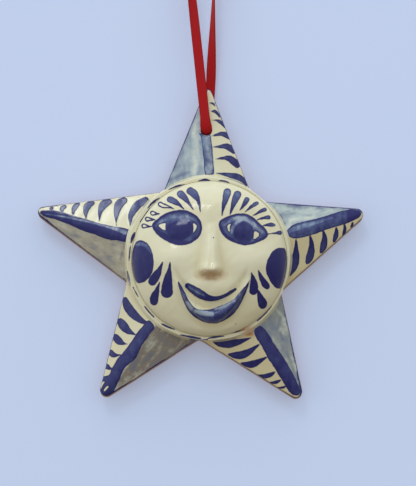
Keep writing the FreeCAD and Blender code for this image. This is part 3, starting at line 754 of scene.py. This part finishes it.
def make_slab():
    levels = [("inner", reach, slab_thickness) for reach in (0.001, 8, 16, 22)]
    levels += [("wall", inset, height) for inset, height in (
        (0.9, slab_thickness), (0.22, 2.5), (0.12, 2.35), (0.1, 2.0), (0.05, 1.2), (0.12, 0.75),
        (0.35, 0.3), (0.8, 0.05), (1.4, 0), (2.2, 0), (3.4, 0))]
    levels += [("inner", reach, 0) for reach in (21, 16, 11, 6, 0.001)]
    slab = star_skin("bare_slab", levels, 40, False)
    faced_out(slab, merge=0.01)
    set_places(slab, places_of(slab) - (0, slab_slip, 0))
    lip = [(hole_radius + 0.7 * (1 - sine), 0.7 * (1 - cosine))
           for sine, cosine in quarter_turn(5)]
    bore(slab, hole_x, hole_y, [(hole_radius + 0.9, -0.5), *lip, (hole_radius, 4.0)])
    vent = [(2.35, -0.5), (2.35, 0), (2.1, 0.12), (2.0, 0.4), (2.0, 4.0)]
    bore(slab, face_x, face_y, vent, 48)
    places = places_of(slab)
    x, y, z = places.T
    z += np.where(z < 0.3, 0.10 * hand_ripple(x, y, 26.0), 0)
    set_places(slab, places)
    note(slab, glazed=z - 2.25 + 0.3 * hand_ripple(x, y, 7.0))
    return slab


# Face


def on_face(x, y):
    """Places as shares of the face's radius from its centre."""
    return (x - face_x) / face_radius, (y - face_y) / face_radius


def face_relief(u, v):
    """Height in mm over the plain dome, at shares u, v of the face's radius from its centre."""
    relief = np.zeros(len(u))
    for height, *form in face_forms:
        relief += height * bump(u, v, *form)
    for cu, cv, tilt in eyes_at:
        across = u - cu
        for height, *form in eye_forms:
            relief += height * bump(across, v - cv - tilt * across, *form)

    # Nose: a wedge from between the brows, widest and highest at the tip, cut under
    root, tip = 0.46, -0.15
    down = np.clip((root - v) / (root - tip), 0, 1.6)
    rise = 4.3 * np.clip(down, 0, 1) ** 1.15
    slope_width = 0.085 + 0.065 * np.clip(down, 0, 1) ** 1.5
    side = np.abs(u - (0.045 - 0.02 * down)) - (0.022 + 0.010 * down)
    ridge = rise * (1 - smooth_step(side / slope_width, 0, 1))
    relief += ridge * smooth_step(v, tip - 0.085, tip + 0.015)

    # Laugh lines round the muzzle
    laugh = v + 0.55 - 1.75 * (u - 0.04) ** 2
    reach = smooth_step(0.50 - np.abs(u - 0.04), 0, 0.10)
    reach = reach * smooth_step(np.abs(u - 0.04), 0.16, 0.28)
    relief -= 0.6 * np.exp(-(laugh / 0.06) ** 2) * reach

    # Mouth: the upper lip's edge stands over a hollow band, and the lower lip is a roll
    upper = v + 0.532 - 1.5 * (u - 0.035) ** 2
    within = smooth_step(0.43 - np.abs(u - 0.04), 0, 0.14)
    relief -= 0.45 * smooth_step(-upper, -0.008, 0.035) * smooth_step(upper, -0.20, -0.07) * within
    lower = v + 0.742 - 2.15 * (u - 0.05) ** 2
    thick = 0.088 * np.clip(1 - ((u - 0.05) / 0.50) ** 2, 0.05, 1) ** 0.6
    ends = smooth_step(0.50 - np.abs(u - 0.05), 0, 0.16)
    relief += 2.1 * np.clip(1 - (lower / thick) ** 2, 0, 1) ** 0.55 * ends
    relief -= 0.5 * bump(lower, u, -0.17, 0.05, 0.06, 0.30)
    return relief


def make_face():
    columns, rings = 600, 100
    # The foot's rings go back under the dome: share of the radius, and depth
    foot_rings = ((0.9997, 0.3), (0.999, 1.5), (0.985, 2.7), (0.96, 2.7))
    seat = coil_top - 0.3
    bm, ring, column = numbered_sheet(rings + len(foot_rings), columns, False)
    shares = np.append(np.linspace(0, 1, rings) ** 0.9, [share for share, _ in foot_rings])
    out = np.maximum(shares[ring], 0.0004)
    turn = column * 2 * math.pi / columns
    x = face_ring[0] + face_ring[2] * out * np.cos(turn)
    y = face_ring[1] + face_ring[2] * out * np.sin(turn)
    z = seat + (face_crown_height - seat) * np.clip(1 - out ** 2.35, 0, 1) ** 0.54
    unevenness = 0.10 * hand_ripple(x, y, 11.0) + 0.05 * hand_ripple(y, x, 5.0)
    z = z + (face_relief(*on_face(x, y)) + unevenness) * (1 - smooth_step(out, 0.90, 0.985))
    over = z - coil_top
    z = coil_top + (over + np.sqrt(over ** 2 + 0.7 ** 2)) / 2 - 0.35 * smooth_step(out, 0.97, 1)
    for index, (_, depth) in enumerate(foot_rings):
        z = np.where(ring == rings + index, seat - depth, z)
    placed(bm, np.stack([x, y, z], 1))
    bmesh.ops.remove_doubles(bm, verts=bm.verts, dist=0.02)
    bmesh.ops.contextual_create(bm, geom=[edge for edge in bm.edges if edge.is_boundary])
    face = made("painted_face", bm)
    paint_face(face)
    return face


def paint_face(face):
    x, y, _ = places_of(face).T
    painting = Painting(x, y)
    painting.strokes(bold_lashes, 1.0, 0.48)
    for lash in faint_lashes:
        painting.lay(np.abs(stroke_distance(x, y, lash)[0] + 0.30) - 0.27, 0.62)
    painting.strokes(cheek_drops, 0.85, 0.97)
    painting.patches(cheek_outlines, (0.97, 0.97))

    # Eyes: watery, with a dark rim, bare whites, and irises
    painting.patches(eye_outlines, (0.58, 0.5))
    eyes = nearest_outline(x, y, eye_outlines)
    painting.load += 0.4 * smooth_step(eyes, -1.1, -0.5) * (eyes < 0.2)
    painting.leave(nearest_outline(x, y, eye_whites, 1))
    painting.shade(eye_lids, -0.3, -0.5, 0.6)
    painting.shade(eye_shades, 0.35, -0.5, 0.4)
    iris = np.min([(np.hypot((x - cx) / rx, (y - cy) / ry) - 1) * min(rx, ry)
                   for cx, cy, rx, ry in irises_at], 0)
    painting.load += 0.36 * smooth_step(-iris, -0.2, 0.15)
    # Lighter paint in the irises, the right eye's being a painted reflection
    painting.shade(iris_pale_paint_and_reflections, -0.4, -0.4, 0.4)
    painting.shade([cheek_light], -0.6, -0.5, 0.4)

    painting.collar()
    specks = np.min([np.hypot(x - cx, y - cy) for cx, cy in kiln_specks], 0)
    painting.lay(specks - 0.24, 0.9)
    painting.patches([lip_outline], [0.6])
    on_lip = outline_distance(x, y, lip_outline) < 0.2
    # Lower lip paler along its top: watery paint and painted highlight
    painting.shade(lip_pale_paint_and_shine, -0.85, -0.9, 0.5, where=on_lip)
    painting.strokes(mouth_line, 0.74, 0.74)
    painting.shade([mouth_light], -0.4, -0.3, 0.3)

    # Glaze pooled in the creases, pooled glaze and painted shade under the chin, and glaze worn
    # thin under the nose
    u, v = on_face(x, y)
    creases = crease_depth(face) * (1 - 0.8 * bump(u, v, 0.02, -0.47, 0.34, 0.14))
    # Painted shade under the chin, in the pooled glaze's colour
    pool = np.clip(0.55 * creases + 0.5 * bump(u, v, 0.05, -1.0, 0.7, 0.22), 0, 1)
    brown = np.hypot((x - 3.1) / 4.6, (y + 4.1) / 1.9) + 0.2 * hand_ripple(x, y, 3.0)
    note_unwashed(face, painting, pool, np.clip(1.45 - brown, 0, 1) * 0.66)


def crease_depth(obj):
    """How far each vertex lies in a crease, where glaze pools."""
    height = places_of(obj)[:, 2]
    ends = np.empty(2 * len(obj.data.edges), np.int32)
    obj.data.edges.foreach_get("vertices", ends)
    ends = ends.reshape(-1, 2)
    count = np.bincount(ends.ravel(), minlength=len(height))
    smoothed = height.copy()
    for _ in range(160):
        total = np.bincount(ends[:, 0], smoothed[ends[:, 1]], len(height))
        total += np.bincount(ends[:, 1], smoothed[ends[:, 0]], len(height))
        smoothed = 0.5 * smoothed + 0.5 * total / count
    return np.clip((smoothed - height) * 1.6, -1, 1)


# Coil pressed round the face


def make_coil():
    """Flattened coil smoothed onto the star: flat on top, its outer flank run out softly."""
    columns, section = 720, 34
    bm, ring, column = numbered_sheet(section, columns, True)
    turn = column * 2 * math.pi / columns
    way = circle(turn)
    wobble = 0.12 * np.sin(5 * turn + 0.7) + 0.08 * np.sin(11 * turn + 2.0)
    inner = np.array(face_ring[:2]) + way * (face_ring[2] + 0.03)
    shoulder = np.array(coil_ring[:2]) + way * (coil_ring[2] - 0.55 + wobble)[:, None]

    # Its run is short where the star's valleys leave little room, and changes slowly
    room = np.zeros(columns)
    room[column] = np.clip(distance_inside(*(shoulder + way * 0.55).T) + 0.1, 0.35, 1.25)
    spread = np.hanning(39) / np.hanning(39).sum()
    run = np.convolve(np.tile(room, 3), spread, "same")[columns:2 * columns][column]
    outer = shoulder + way * run[:, None]
    foot = star_height(*outer.T) - 0.12 - smooth_step(1.15 - run, 0, 0.5)
    foot = np.maximum(np.minimum(foot, coil_top - 0.6), rim_height - 0.6)

    share = ring / (section - 1)
    over = np.clip(share / 0.3, 0, 1)[:, None]
    slide = np.clip((share - 0.3) / 0.58, 0, 1)
    below = np.clip((share - 0.88) / 0.12, 0, 1)[:, None]
    flat = inner + (shoulder - inner) * over + (outer - shoulder) * slide[:, None]
    flat = flat + (inner - flat) * below
    height = coil_top + 0.3 * wobble * over[:, 0] + (foot - coil_top) * smooth_step(slide, 0, 1)
    placed(bm, np.column_stack([flat, height]))
    coil = made("rim_coil", bm)

    x, y, z = places_of(coil).T
    painting = Painting(x, y)
    painting.collar()
    from_face = np.hypot(x - face_ring[0], y - face_ring[1]) - face_ring[2]
    pool = 0.25 * smooth_step(-from_face, -0.5, 0) + 0.4 * smooth_step(coil_top - z, 1, 3)
    note_unwashed(coil, painting, pool, 0.8 * bump(x, y, 14.8, -22.6, 3.2, 1.3))
    return coil


# Ribbon: a band that follows the loop's line, and the knot that ties it


def route_line():
    """The loop's line in mm, from its NURBS spline."""
    curve = bpy.data.curves.new("loop_line", "CURVE")
    curve.dimensions = "3D"
    spline = curve.splines.new("NURBS")
    spline.points.add(len(ribbon_route) - 1)
    for point, place in zip(spline.points, ribbon_route):
        point.co = (*place, 1)
    spline.order_u = 3
    spline.use_endpoint_u = True
    spline.resolution_u = 40
    obj = linked("loop_line", curve)
    mesh = evaluated_mesh(obj)
    line = np.array([v.co for v in mesh.vertices])
    bpy.data.objects.remove(obj)
    bpy.data.meshes.remove(mesh)
    return line


def width_ways(line):
    """Way across the ribbon at each place: it turns flat from the peg to the hole, as it hangs."""
    heading = unit(np.gradient(line, axis=0))
    back = line[:, 1] > 0
    start = np.where(back, -55.03, -72.0)
    rise = np.clip((line[:, 2] - start) / (-5 - start), 0, 1)
    quarter = np.where(back, 1 - (1 - rise) ** 2.4, rise ** 2.6) * math.pi / 2
    way = np.stack([np.cos(quarter), np.where(back, -1, 1) * np.sin(quarter), 0 * quarter], 1)
    for index in range(1, len(way)):
        if way[index] @ way[index - 1] < 0:
            way[index:] *= -1
    return unit(way - heading * np.sum(way * heading, 1)[:, None])


def band(line, ways, widths, rows, lengths, woven_widths, cup_level):
    """Cupped sheet along a line, with its own way across and width at each place.

    Gives its bmesh and places, and each vertex's row along and offset across.
    """
    bm = bmesh.new()
    bmesh.ops.create_grid(bm, x_segments=len(line) - 1, y_segments=rows - 1, size=1)
    grid = np.array([v.co for v in bm.verts])
    row = np.round((grid[:, 0] + 1) / 2 * (len(line) - 1)).astype(int)
    offset = grid[:, 1]
    normal = np.cross(unit(np.gradient(line, axis=0)), ways)
    places = line[row] + ways[row] * (offset * widths[row] / 2)[:, None]
    places += normal[row] * (ribbon_cup * (offset ** 2 - cup_level))[:, None]
    weave = np.stack([lengths[row], offset * woven_widths[row] / 2], 1)
    uv = bm.loops.layers.uv.new("weave")
    bm.verts.ensure_lookup_table()
    for face in bm.faces:
        for loop in face.loops:
            loop[uv].uv = weave[loop.vert.index]
    return bm, places, row, offset


def make_ribbon():
    """The loop; it is drawn wider and sags across where it bends over the hole's lip."""
    route = route_line()
    line = at_shares(route, np.linspace(0, 1, 420))
    lengths = np.linspace(0, run_lengths(route)[-1], len(line))
    on_lip = smooth_step(-line[:, 2], 66.5, 71.5) * smooth_step(4.9 - np.abs(line[:, 1]), 0, 1.2)
    widths = ribbon_width * (1 + 0.14 * on_lip)
    bm, places, row, offset = band(line, width_ways(line), widths, 17, lengths,
                                   np.full(len(line), ribbon_width), 0.4)
    places[:, 2] -= 1.5 * on_lip[row] * np.sqrt(np.clip(1 - offset ** 2, 0, 1))
    placed(bm, places * mm)
    ribbon = made("ribbon_band", bm)
    solid = ribbon.modifiers.new("thickness", "SOLIDIFY")
    solid.thickness = ribbon_thickness * mm
    solid.offset = 0
    return ribbon


def join_part(bm, part, places):
    """Adds a part of the knot to bm, its places in mm from the knot's middle."""
    placed(part, (places + knot_place) * mm)
    mesh = bpy.data.meshes.new("part")
    part.to_mesh(mesh)
    part.free()
    bm.from_mesh(mesh)
    bpy.data.meshes.remove(mesh)


def make_knot():
    """Overhand knot in the doubled ribbon: three wraps round the neck and two tails."""
    bm = bmesh.new()
    section, steps = 12, 48
    for wide, deep, lift, lean, start in (
            (2.05, 1.30, 1.65, 0.35, 0.0), (2.0, 1.25, -1.95, -0.5, 2.0),
            (1.8, 1.2, -0.15, 0.1, 4.0)):
        part, k, j = numbered_sheet(section, steps, True)
        turn = start + 2 * math.pi * j / steps
        middle = circle(turn) * (wide, deep)
        round_section = k * 2 * math.pi / section
        pleat = 0.06 * np.cos(3 * round_section + j * 0.26)
        flat = middle + unit(middle) * ((0.42 + pleat) * np.cos(round_section))[:, None]
        height = lift + lean * np.cos(turn) + (1.05 + pleat) * np.sin(round_section)
        join_part(bm, part, np.column_stack([flat, height]))
    t = np.linspace(0, 1, 40)
    for side, reach, rise in ((-1, 7.4, 5.2), (1, 8.0, 6.0)):
        line = np.stack([side * (0.3 + (reach - 0.3) * t ** 0.9),
                         -0.4 * side - 1.0 * np.sin(2.2 * t),
                         0.4 + rise * np.sin(t * 1.35) * 0.9 - 1.6 * t ** 2], 1)
        ways = unit(np.cross(np.gradient(line, axis=0), [0.15 * side, 1.0, 0.2]))
        widths = 1.4 + 1.8 * smooth_step(t, 0, 0.35)
        part, places, _, _ = band(line, ways, widths, 9, run_lengths(line), widths, 0.5)
        bmesh.ops.solidify(part, geom=part.faces[:], thickness=ribbon_thickness)
        join_part(bm, part, np.tile(places, (2, 1)))
    return made("tied_knot", bm)



# Finishes


class Nodes:
    """Short hand for a tree of nodes."""

    def __init__(self, tree):
        self.tree = tree

    def add(self, kind, inputs=(), **settings):
        node = self.tree.nodes.new(kind)
        for key, value in settings.items():
            setattr(node, key, value)
        for key, value in dict(inputs).items():
            self.put(value, node.inputs[key])
        return node

    def put(self, value, socket):
        if isinstance(value, bpy.types.NodeSocket):
            self.tree.links.new(value, socket)
        else:
            socket.default_value = value

    def place(self):
        return self.add("ShaderNodeTexCoord").outputs["Object"]

    def read(self, name, output="Fac"):
        return self.add("ShaderNodeAttribute", attribute_name=name).outputs[output]

    def noise(self, vector, scale, detail=3.0, roughness=0.55):
        inputs = {"Vector": vector, "Scale": scale, "Detail": detail, "Roughness": roughness}
        return self.add("ShaderNodeTexNoise", inputs).outputs["Fac"]

    def stretch(self, vector, turn, scale):
        inputs = {"Vector": vector, "Rotation": turn, "Scale": scale}
        return self.add("ShaderNodeMapping", inputs).outputs["Vector"]

    def math(self, operation, first, second=0.0, clamp=False):
        inputs = {0: first, 1: second}
        return self.add("ShaderNodeMath", inputs, operation=operation, use_clamp=clamp).outputs[0]

    def times(self, first, second, clamp=False):
        return self.math("MULTIPLY", first, second, clamp)

    def sum(self, *terms, clamp=False):
        """Terms added up; a pair is a value and its weight."""
        terms = [self.times(*term) if isinstance(term, tuple) else term for term in terms]
        total = terms[0]
        for term in terms[1:]:
            total = self.math("ADD", total, term, clamp)
        return total

    def span(self, value, low, high, start=0.0, end=1.0):
        inputs = {"Value": value, "From Min": low, "From Max": high, "To Min": start, "To Max": end}
        return self.add("ShaderNodeMapRange", inputs).outputs["Result"]

    def mix(self, share, first, second):
        inputs = {"Factor": share, 6: first, 7: second}
        return self.add("ShaderNodeMix", data_type="RGBA", inputs=inputs).outputs[2]

    def ramp(self, value, stops):
        node = self.add("ShaderNodeValToRGB", {"Fac": value})
        elements = node.color_ramp.elements
        while len(elements) < len(stops):
            elements.new(0.5)
        for element, (position, colour) in zip(elements, stops):
            element.position = position
            element.color = colour
        return node.outputs["Color"]

    def bump(self, height, distance, strength):
        inputs = {"Height": height, "Distance": distance, "Strength": strength}
        return self.add("ShaderNodeBump", inputs).outputs["Normal"]


class Finish(Nodes):
    """A new material's nodes; its uniform inputs are named with _ for a space."""

    def __init__(self, name, **uniform):
        self.material = bpy.data.materials.new(name)
        self.material.use_nodes = True
        super().__init__(self.material.node_tree)
        self.shader = self.tree.nodes["Principled BSDF"]
        for key, value in uniform.items():
            self.set(key.replace("_", " "), value)

    def set(self, key, value):
        self.put(value, self.shader.inputs[key])


def srgb(red, green, blue):
    """Linear colour from the 0 to 255 values it is seen as."""
    linear = []
    for value in (red / 255, green / 255, blue / 255):
        linear.append(value / 12.92 if value <= 0.04045 else ((value + 0.055) / 1.055) ** 2.4)
    return (*linear, 1.0)


cream = srgb(226, 226, 198)
# Colour of pooled glaze, also used for painted shade
cream_pooled = srgb(208, 194, 146)
cream_thin = srgb(172, 120, 78)
speck_brown = srgb(120, 86, 58)
cobalt_stops = ((0.0, srgb(130, 152, 186)), (0.3, srgb(84, 102, 144)),
                (0.66, srgb(50, 58, 114)), (0.95, srgb(25, 28, 98)))
wash_blue = srgb(84, 104, 144)
wash_bare = srgb(214, 222, 212)
clay_red = srgb(158, 92, 62)
clay_dark = srgb(122, 66, 44)
clay_pale = srgb(186, 122, 86)
clay_glazed = srgb(176, 150, 124)
ribbon_red = srgb(180, 14, 20)
ribbon_shade = srgb(146, 14, 24)
selvedge_red = srgb(130, 10, 20)
wall_blue = srgb(190, 205, 234)


def glazed_clay():
    """Tin glaze over brushed cobalt: cream, pooled in creases and darkened by painted shade, blue
    strokes with dark rims.
    """
    m = Finish("painted_tin_glaze", Roughness=0.12, IOR=1.44)
    place = m.place()
    ink, load, wash, thin, pool, veil = (
        m.read(name) for name in ("ink", "load", "wash", "thin", "pool", "veil"))

    # Cream glaze: slow mottling, warmer where it pools and where shade is painted on
    cloud = m.noise(place, 45, 4)
    fine = m.noise(place, 420, 3)
    base = m.mix(m.span(cloud, 0.35, 0.7, 0.0, 0.35), cream, cream_pooled)
    base = m.mix(m.span(pool, 0.0, 1.0, 0.0, 0.75), base, cream_pooled)

    # Thin blue-grey wash, streaked along the ray, heavier at the facet's edges
    brushed = m.read("brushed", "Vector")
    lanes = m.add("ShaderNodeSeparateXYZ", {"Vector": brushed})
    streaks = m.noise(m.stretch(brushed, (0, 0, 0), (0.11, 0.42, 0)), 1, 5, 0.55)
    patches = m.noise(place, 170, 5, 0.6)
    dabs = m.noise(place, 480, 3, 0.6)
    scrub = m.sum((streaks, 0.42), (patches, 0.34), (dabs, 0.24))
    near_edge = m.span(lanes.outputs["Z"], 1.6, 0.2, 0.0, 0.45)
    shade = m.sum(veil, m.span(scrub, 0.38, 0.62, -0.8, 0.8), near_edge)
    washed = m.mix(m.span(shade, 0.0, 1.2, 0.0, 0.9), m.read("tint", "Color"), wash_blue)
    washed = m.mix(m.span(shade, 0.0, -1.2, 0.0, 0.9), washed, wash_bare)
    wash_edge = m.sum(wash, m.span(patches, 0.2, 0.8, -0.6, 0.6))
    base = m.mix(m.span(wash_edge, -0.2, 0.6, 0.0, 0.92), base, washed)

    # Brushed cobalt: the edge wavers, the rim is darkest and the middle watery
    waver = m.math("SUBTRACT", m.noise(place, 650, 3), 0.5)
    edge = m.sum(ink, (waver, 0.42))
    rim = m.span(edge, -0.5, -0.12)
    water = m.noise(m.stretch(place, (0, 0, 0.4), (330, 330, 330)), 1, 4, 0.6)
    streaky = m.noise(m.stretch(place, (0, 0, 0.7), (620, 240, 240)), 1, 3, 0.6)
    uneven = m.sum(m.span(water, 0.3, 0.7, -0.5, 0.5), m.span(streaky, 0.3, 0.7, -0.3, 0.3))
    depth = m.sum(load, (uneven, m.span(load, 0.3, 1.0, 0.5, 0.22)))
    depth = m.sum(depth, m.span(rim, 0.0, 1.0, 0.0, 0.4), clamp=True)
    cover = m.times(m.span(edge, 0.10, -0.10), m.span(depth, 0.0, 0.45, 0.8, 1.0))
    base = m.mix(cover, base, m.ramp(depth, cobalt_stops))

    # Brown where the glaze is thin, and dark specks in it
    brown = m.times(thin, m.span(fine, 0.25, 0.7, 0.6, 1.1), clamp=True)
    base = m.mix(brown, base, cream_thin)
    pits = m.add("ShaderNodeTexVoronoi", {"Vector": place, "Scale": 150.0, "Randomness": 1.0})
    speck = m.times(m.span(pits.outputs["Distance"], 0.035, 0.06, 1.0, 0.0),
                    m.math("GREATER_THAN", m.noise(place, 75, 1), 0.66))
    m.set("Base Color", m.mix(m.times(speck, 0.55), base, speck_brown))

    m.set("Roughness", m.span(fine, 0.3, 0.7, 0.10, 0.19))
    ripple = m.noise(place, 190, 2, 0.4)
    height = m.sum((ripple, 0.10), (m.span(edge, 0.3, -0.3), 0.05), (speck, -0.10))
    m.set("Normal", m.bump(height, 0.001, 0.8))
    return m.material


def bare_clay():
    """Unglazed red earthenware, with the glaze's uneven lower edge round it."""
    m = Finish("bare_terracotta", Roughness=0.85)
    place = m.place()
    cloud = m.noise(place, 40, 5, 0.6)
    grain = m.noise(place, 900, 4, 0.7)
    base = m.mix(m.span(cloud, 0.3, 0.7), clay_red, clay_pale)
    base = m.mix(m.span(grain, 0.4, 0.75, 0.0, 0.5), base, clay_dark)
    glazed = m.span(m.read("glazed"), -0.12, 0.12)
    m.set("Base Color", m.mix(m.times(glazed, 0.8), base, clay_glazed))
    m.set("Roughness", m.span(glazed, 0, 1, 0.85, 0.3))
    scratch = m.noise(m.stretch(place, (0, 0.9, 0), (90, 400, 2200)), 1, 3)
    m.set("Normal", m.bump(m.sum(grain, (scratch, 0.5)), 0.0001, 0.7))
    return m.material


def red_satin():
    """Narrow woven satin: fine ribs across, selvedges, a soft sheen along the weave."""
    m = Finish("red_satin", Roughness=0.62, Specular_IOR_Level=0.22, Anisotropic=0.5)
    rib_step, thread_step = 0.34, 0.20
    uv = m.add("ShaderNodeUVMap", uv_map="weave").outputs["UV"]
    along, across, _ = m.add("ShaderNodeSeparateXYZ", {"Vector": uv}).outputs
    ribs = m.math("SINE", m.times(along, 2 * math.pi / rib_step))
    threads = m.math("SINE", m.times(across, 2 * math.pi / thread_step))
    slub = m.noise(m.stretch(uv, (0, 0, 0), (0.35, 6.0, 1)), 1, 3)
    selvedge = m.span(m.math("ABSOLUTE", across), 1.30, 1.42)
    base = m.mix(m.span(slub, 0.35, 0.7, 0.0, 0.45), ribbon_red, ribbon_shade)
    m.set("Base Color", m.mix(m.times(selvedge, 0.45), base, selvedge_red))
    m.set("Normal", m.bump(m.sum(ribs, (threads, 0.5)), 0.00003, 0.8))
    return m.material


def wall_paint():
    """Pale wall that the star's shadow falls on, clear from behind and to every other ray."""
    m = Finish("pale_wall", Base_Color=wall_blue, Roughness=0.9, Specular_IOR_Level=0.0,
               Emission_Color=wall_blue, Emission_Strength=0.26)
    seen = m.add("ShaderNodeLightPath").outputs["Is Camera Ray"]
    behind = m.add("ShaderNodeNewGeometry").outputs["Backfacing"]
    shown = m.times(seen, m.math("SUBTRACT", 1.0, behind))
    clear = m.add("ShaderNodeBsdfTransparent").outputs[0]
    mixed = m.add("ShaderNodeMixShader", {0: shown, 1: clear, 2: m.shader.outputs[0]})
    m.put(mixed.outputs[0], m.tree.nodes["Material Output"].inputs["Surface"])
    return m.material


def dress(obj, material):
    obj.data.materials.clear()
    obj.data.materials.append(material)


def fit(piece, material, body, node):
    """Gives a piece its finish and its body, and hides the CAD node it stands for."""
    dress(piece, material)
    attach(piece, body)
    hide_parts(node)


# Camera, the ribbon with its knot, then the clay

camera = linked("camera", bpy.data.cameras.new("camera"))
camera.location = (0.00234, -0.8, -0.1103)
camera.rotation_euler = (math.pi / 2, 0, 0)
camera.data.lens = 174.3
camera.data.sensor_width = 36.0
camera.data.clip_end = 20
bpy.context.scene.camera = camera

satin = red_satin()
ribbon, knot = make_ribbon(), make_knot()
fit(ribbon, satin, "ribbon", "hanging_ribbon")
fit(knot, satin, "ribbon", "ribbon_knot")
ribbon_path = [tuple(place * mm) for place in at_shares(route_line(), np.linspace(0, 1, 160))]

glaze = glazed_clay()
for make, node, finish, slot in (
        (make_star, "star_shell", glaze, "glazed_clay"),
        (make_slab, "back_slab", bare_clay(), "bare_clay"),
        (make_face, "face_dome", glaze, "glazed_clay"),
        (make_coil, "seam_coil", glaze, "glazed_clay")):
    piece = make()
    set_places(piece, hang(places_of(piece)))
    faced_out(piece)
    fit(piece, finish, "star", node)


# Backdrop and light


def make_wall():
    """Wall just behind the star and its ribbon."""
    upright = Matrix.Rotation(math.pi / 2, 3, "X")
    bm = bmesh.new()
    bmesh.ops.create_grid(bm, x_segments=1, y_segments=1, size=6)
    bmesh.ops.rotate(bm, verts=bm.verts, cent=(0, 0, 0), matrix=upright)
    bmesh.ops.translate(bm, verts=bm.verts, vec=(0, 0.0064, 0))
    mesh = bpy.data.meshes.new("near_wall")
    bm.to_mesh(mesh)
    bm.free()
    wall = linked("near_wall", mesh)
    dress(wall, wall_paint())


def softbox(name, place, size, power, colour):
    """Lamp panel that faces the star's middle."""
    data = bpy.data.lights.new(name, "AREA")
    data.shape = "RECTANGLE"
    data.size, data.size_y = size
    data.energy = power
    data.color = colour
    lamp = linked(name, data)
    lamp.location = place
    aim = Vector((0, 0, -0.11)) - lamp.location
    lamp.rotation_euler = aim.to_track_quat("-Z", "Y").to_euler()


make_wall()
softbox("window_above", (-0.1, -0.34, 1.4), (1.7, 0.95), 3.8, (0.90, 0.98, 1.05))
softbox("window_in_front", (-0.30, -0.95, 0.85), (0.26, 0.36), 1.9, (0.96, 0.99, 1.03))

# Room: light above, warm and dim below, and the wall's colour where the camera sees it
world = bpy.data.worlds.new("room")
world.use_nodes = True
bpy.context.scene.world = world
room = Nodes(world.node_tree)
way = room.add("ShaderNodeTexCoord").outputs["Generated"]
up = room.add("ShaderNodeVectorMath", {0: way, 1: (-0.25, 0, 0.97)}, operation="DOT_PRODUCT")
high = room.span(up.outputs["Value"], -0.75, 0.3)
glow = room.mix(high, (0.29, 0.24, 0.18, 1), (0.98, 0.99, 1.0, 1))
seen = room.add("ShaderNodeLightPath").outputs["Is Camera Ray"]
surround = world.node_tree.nodes["Background"]
room.put(room.mix(seen, glow, wall_blue), surround.inputs["Color"])
surround.inputs["Strength"].default_value = 0.91

bpy.context.scene.view_settings.view_transform = "Standard"
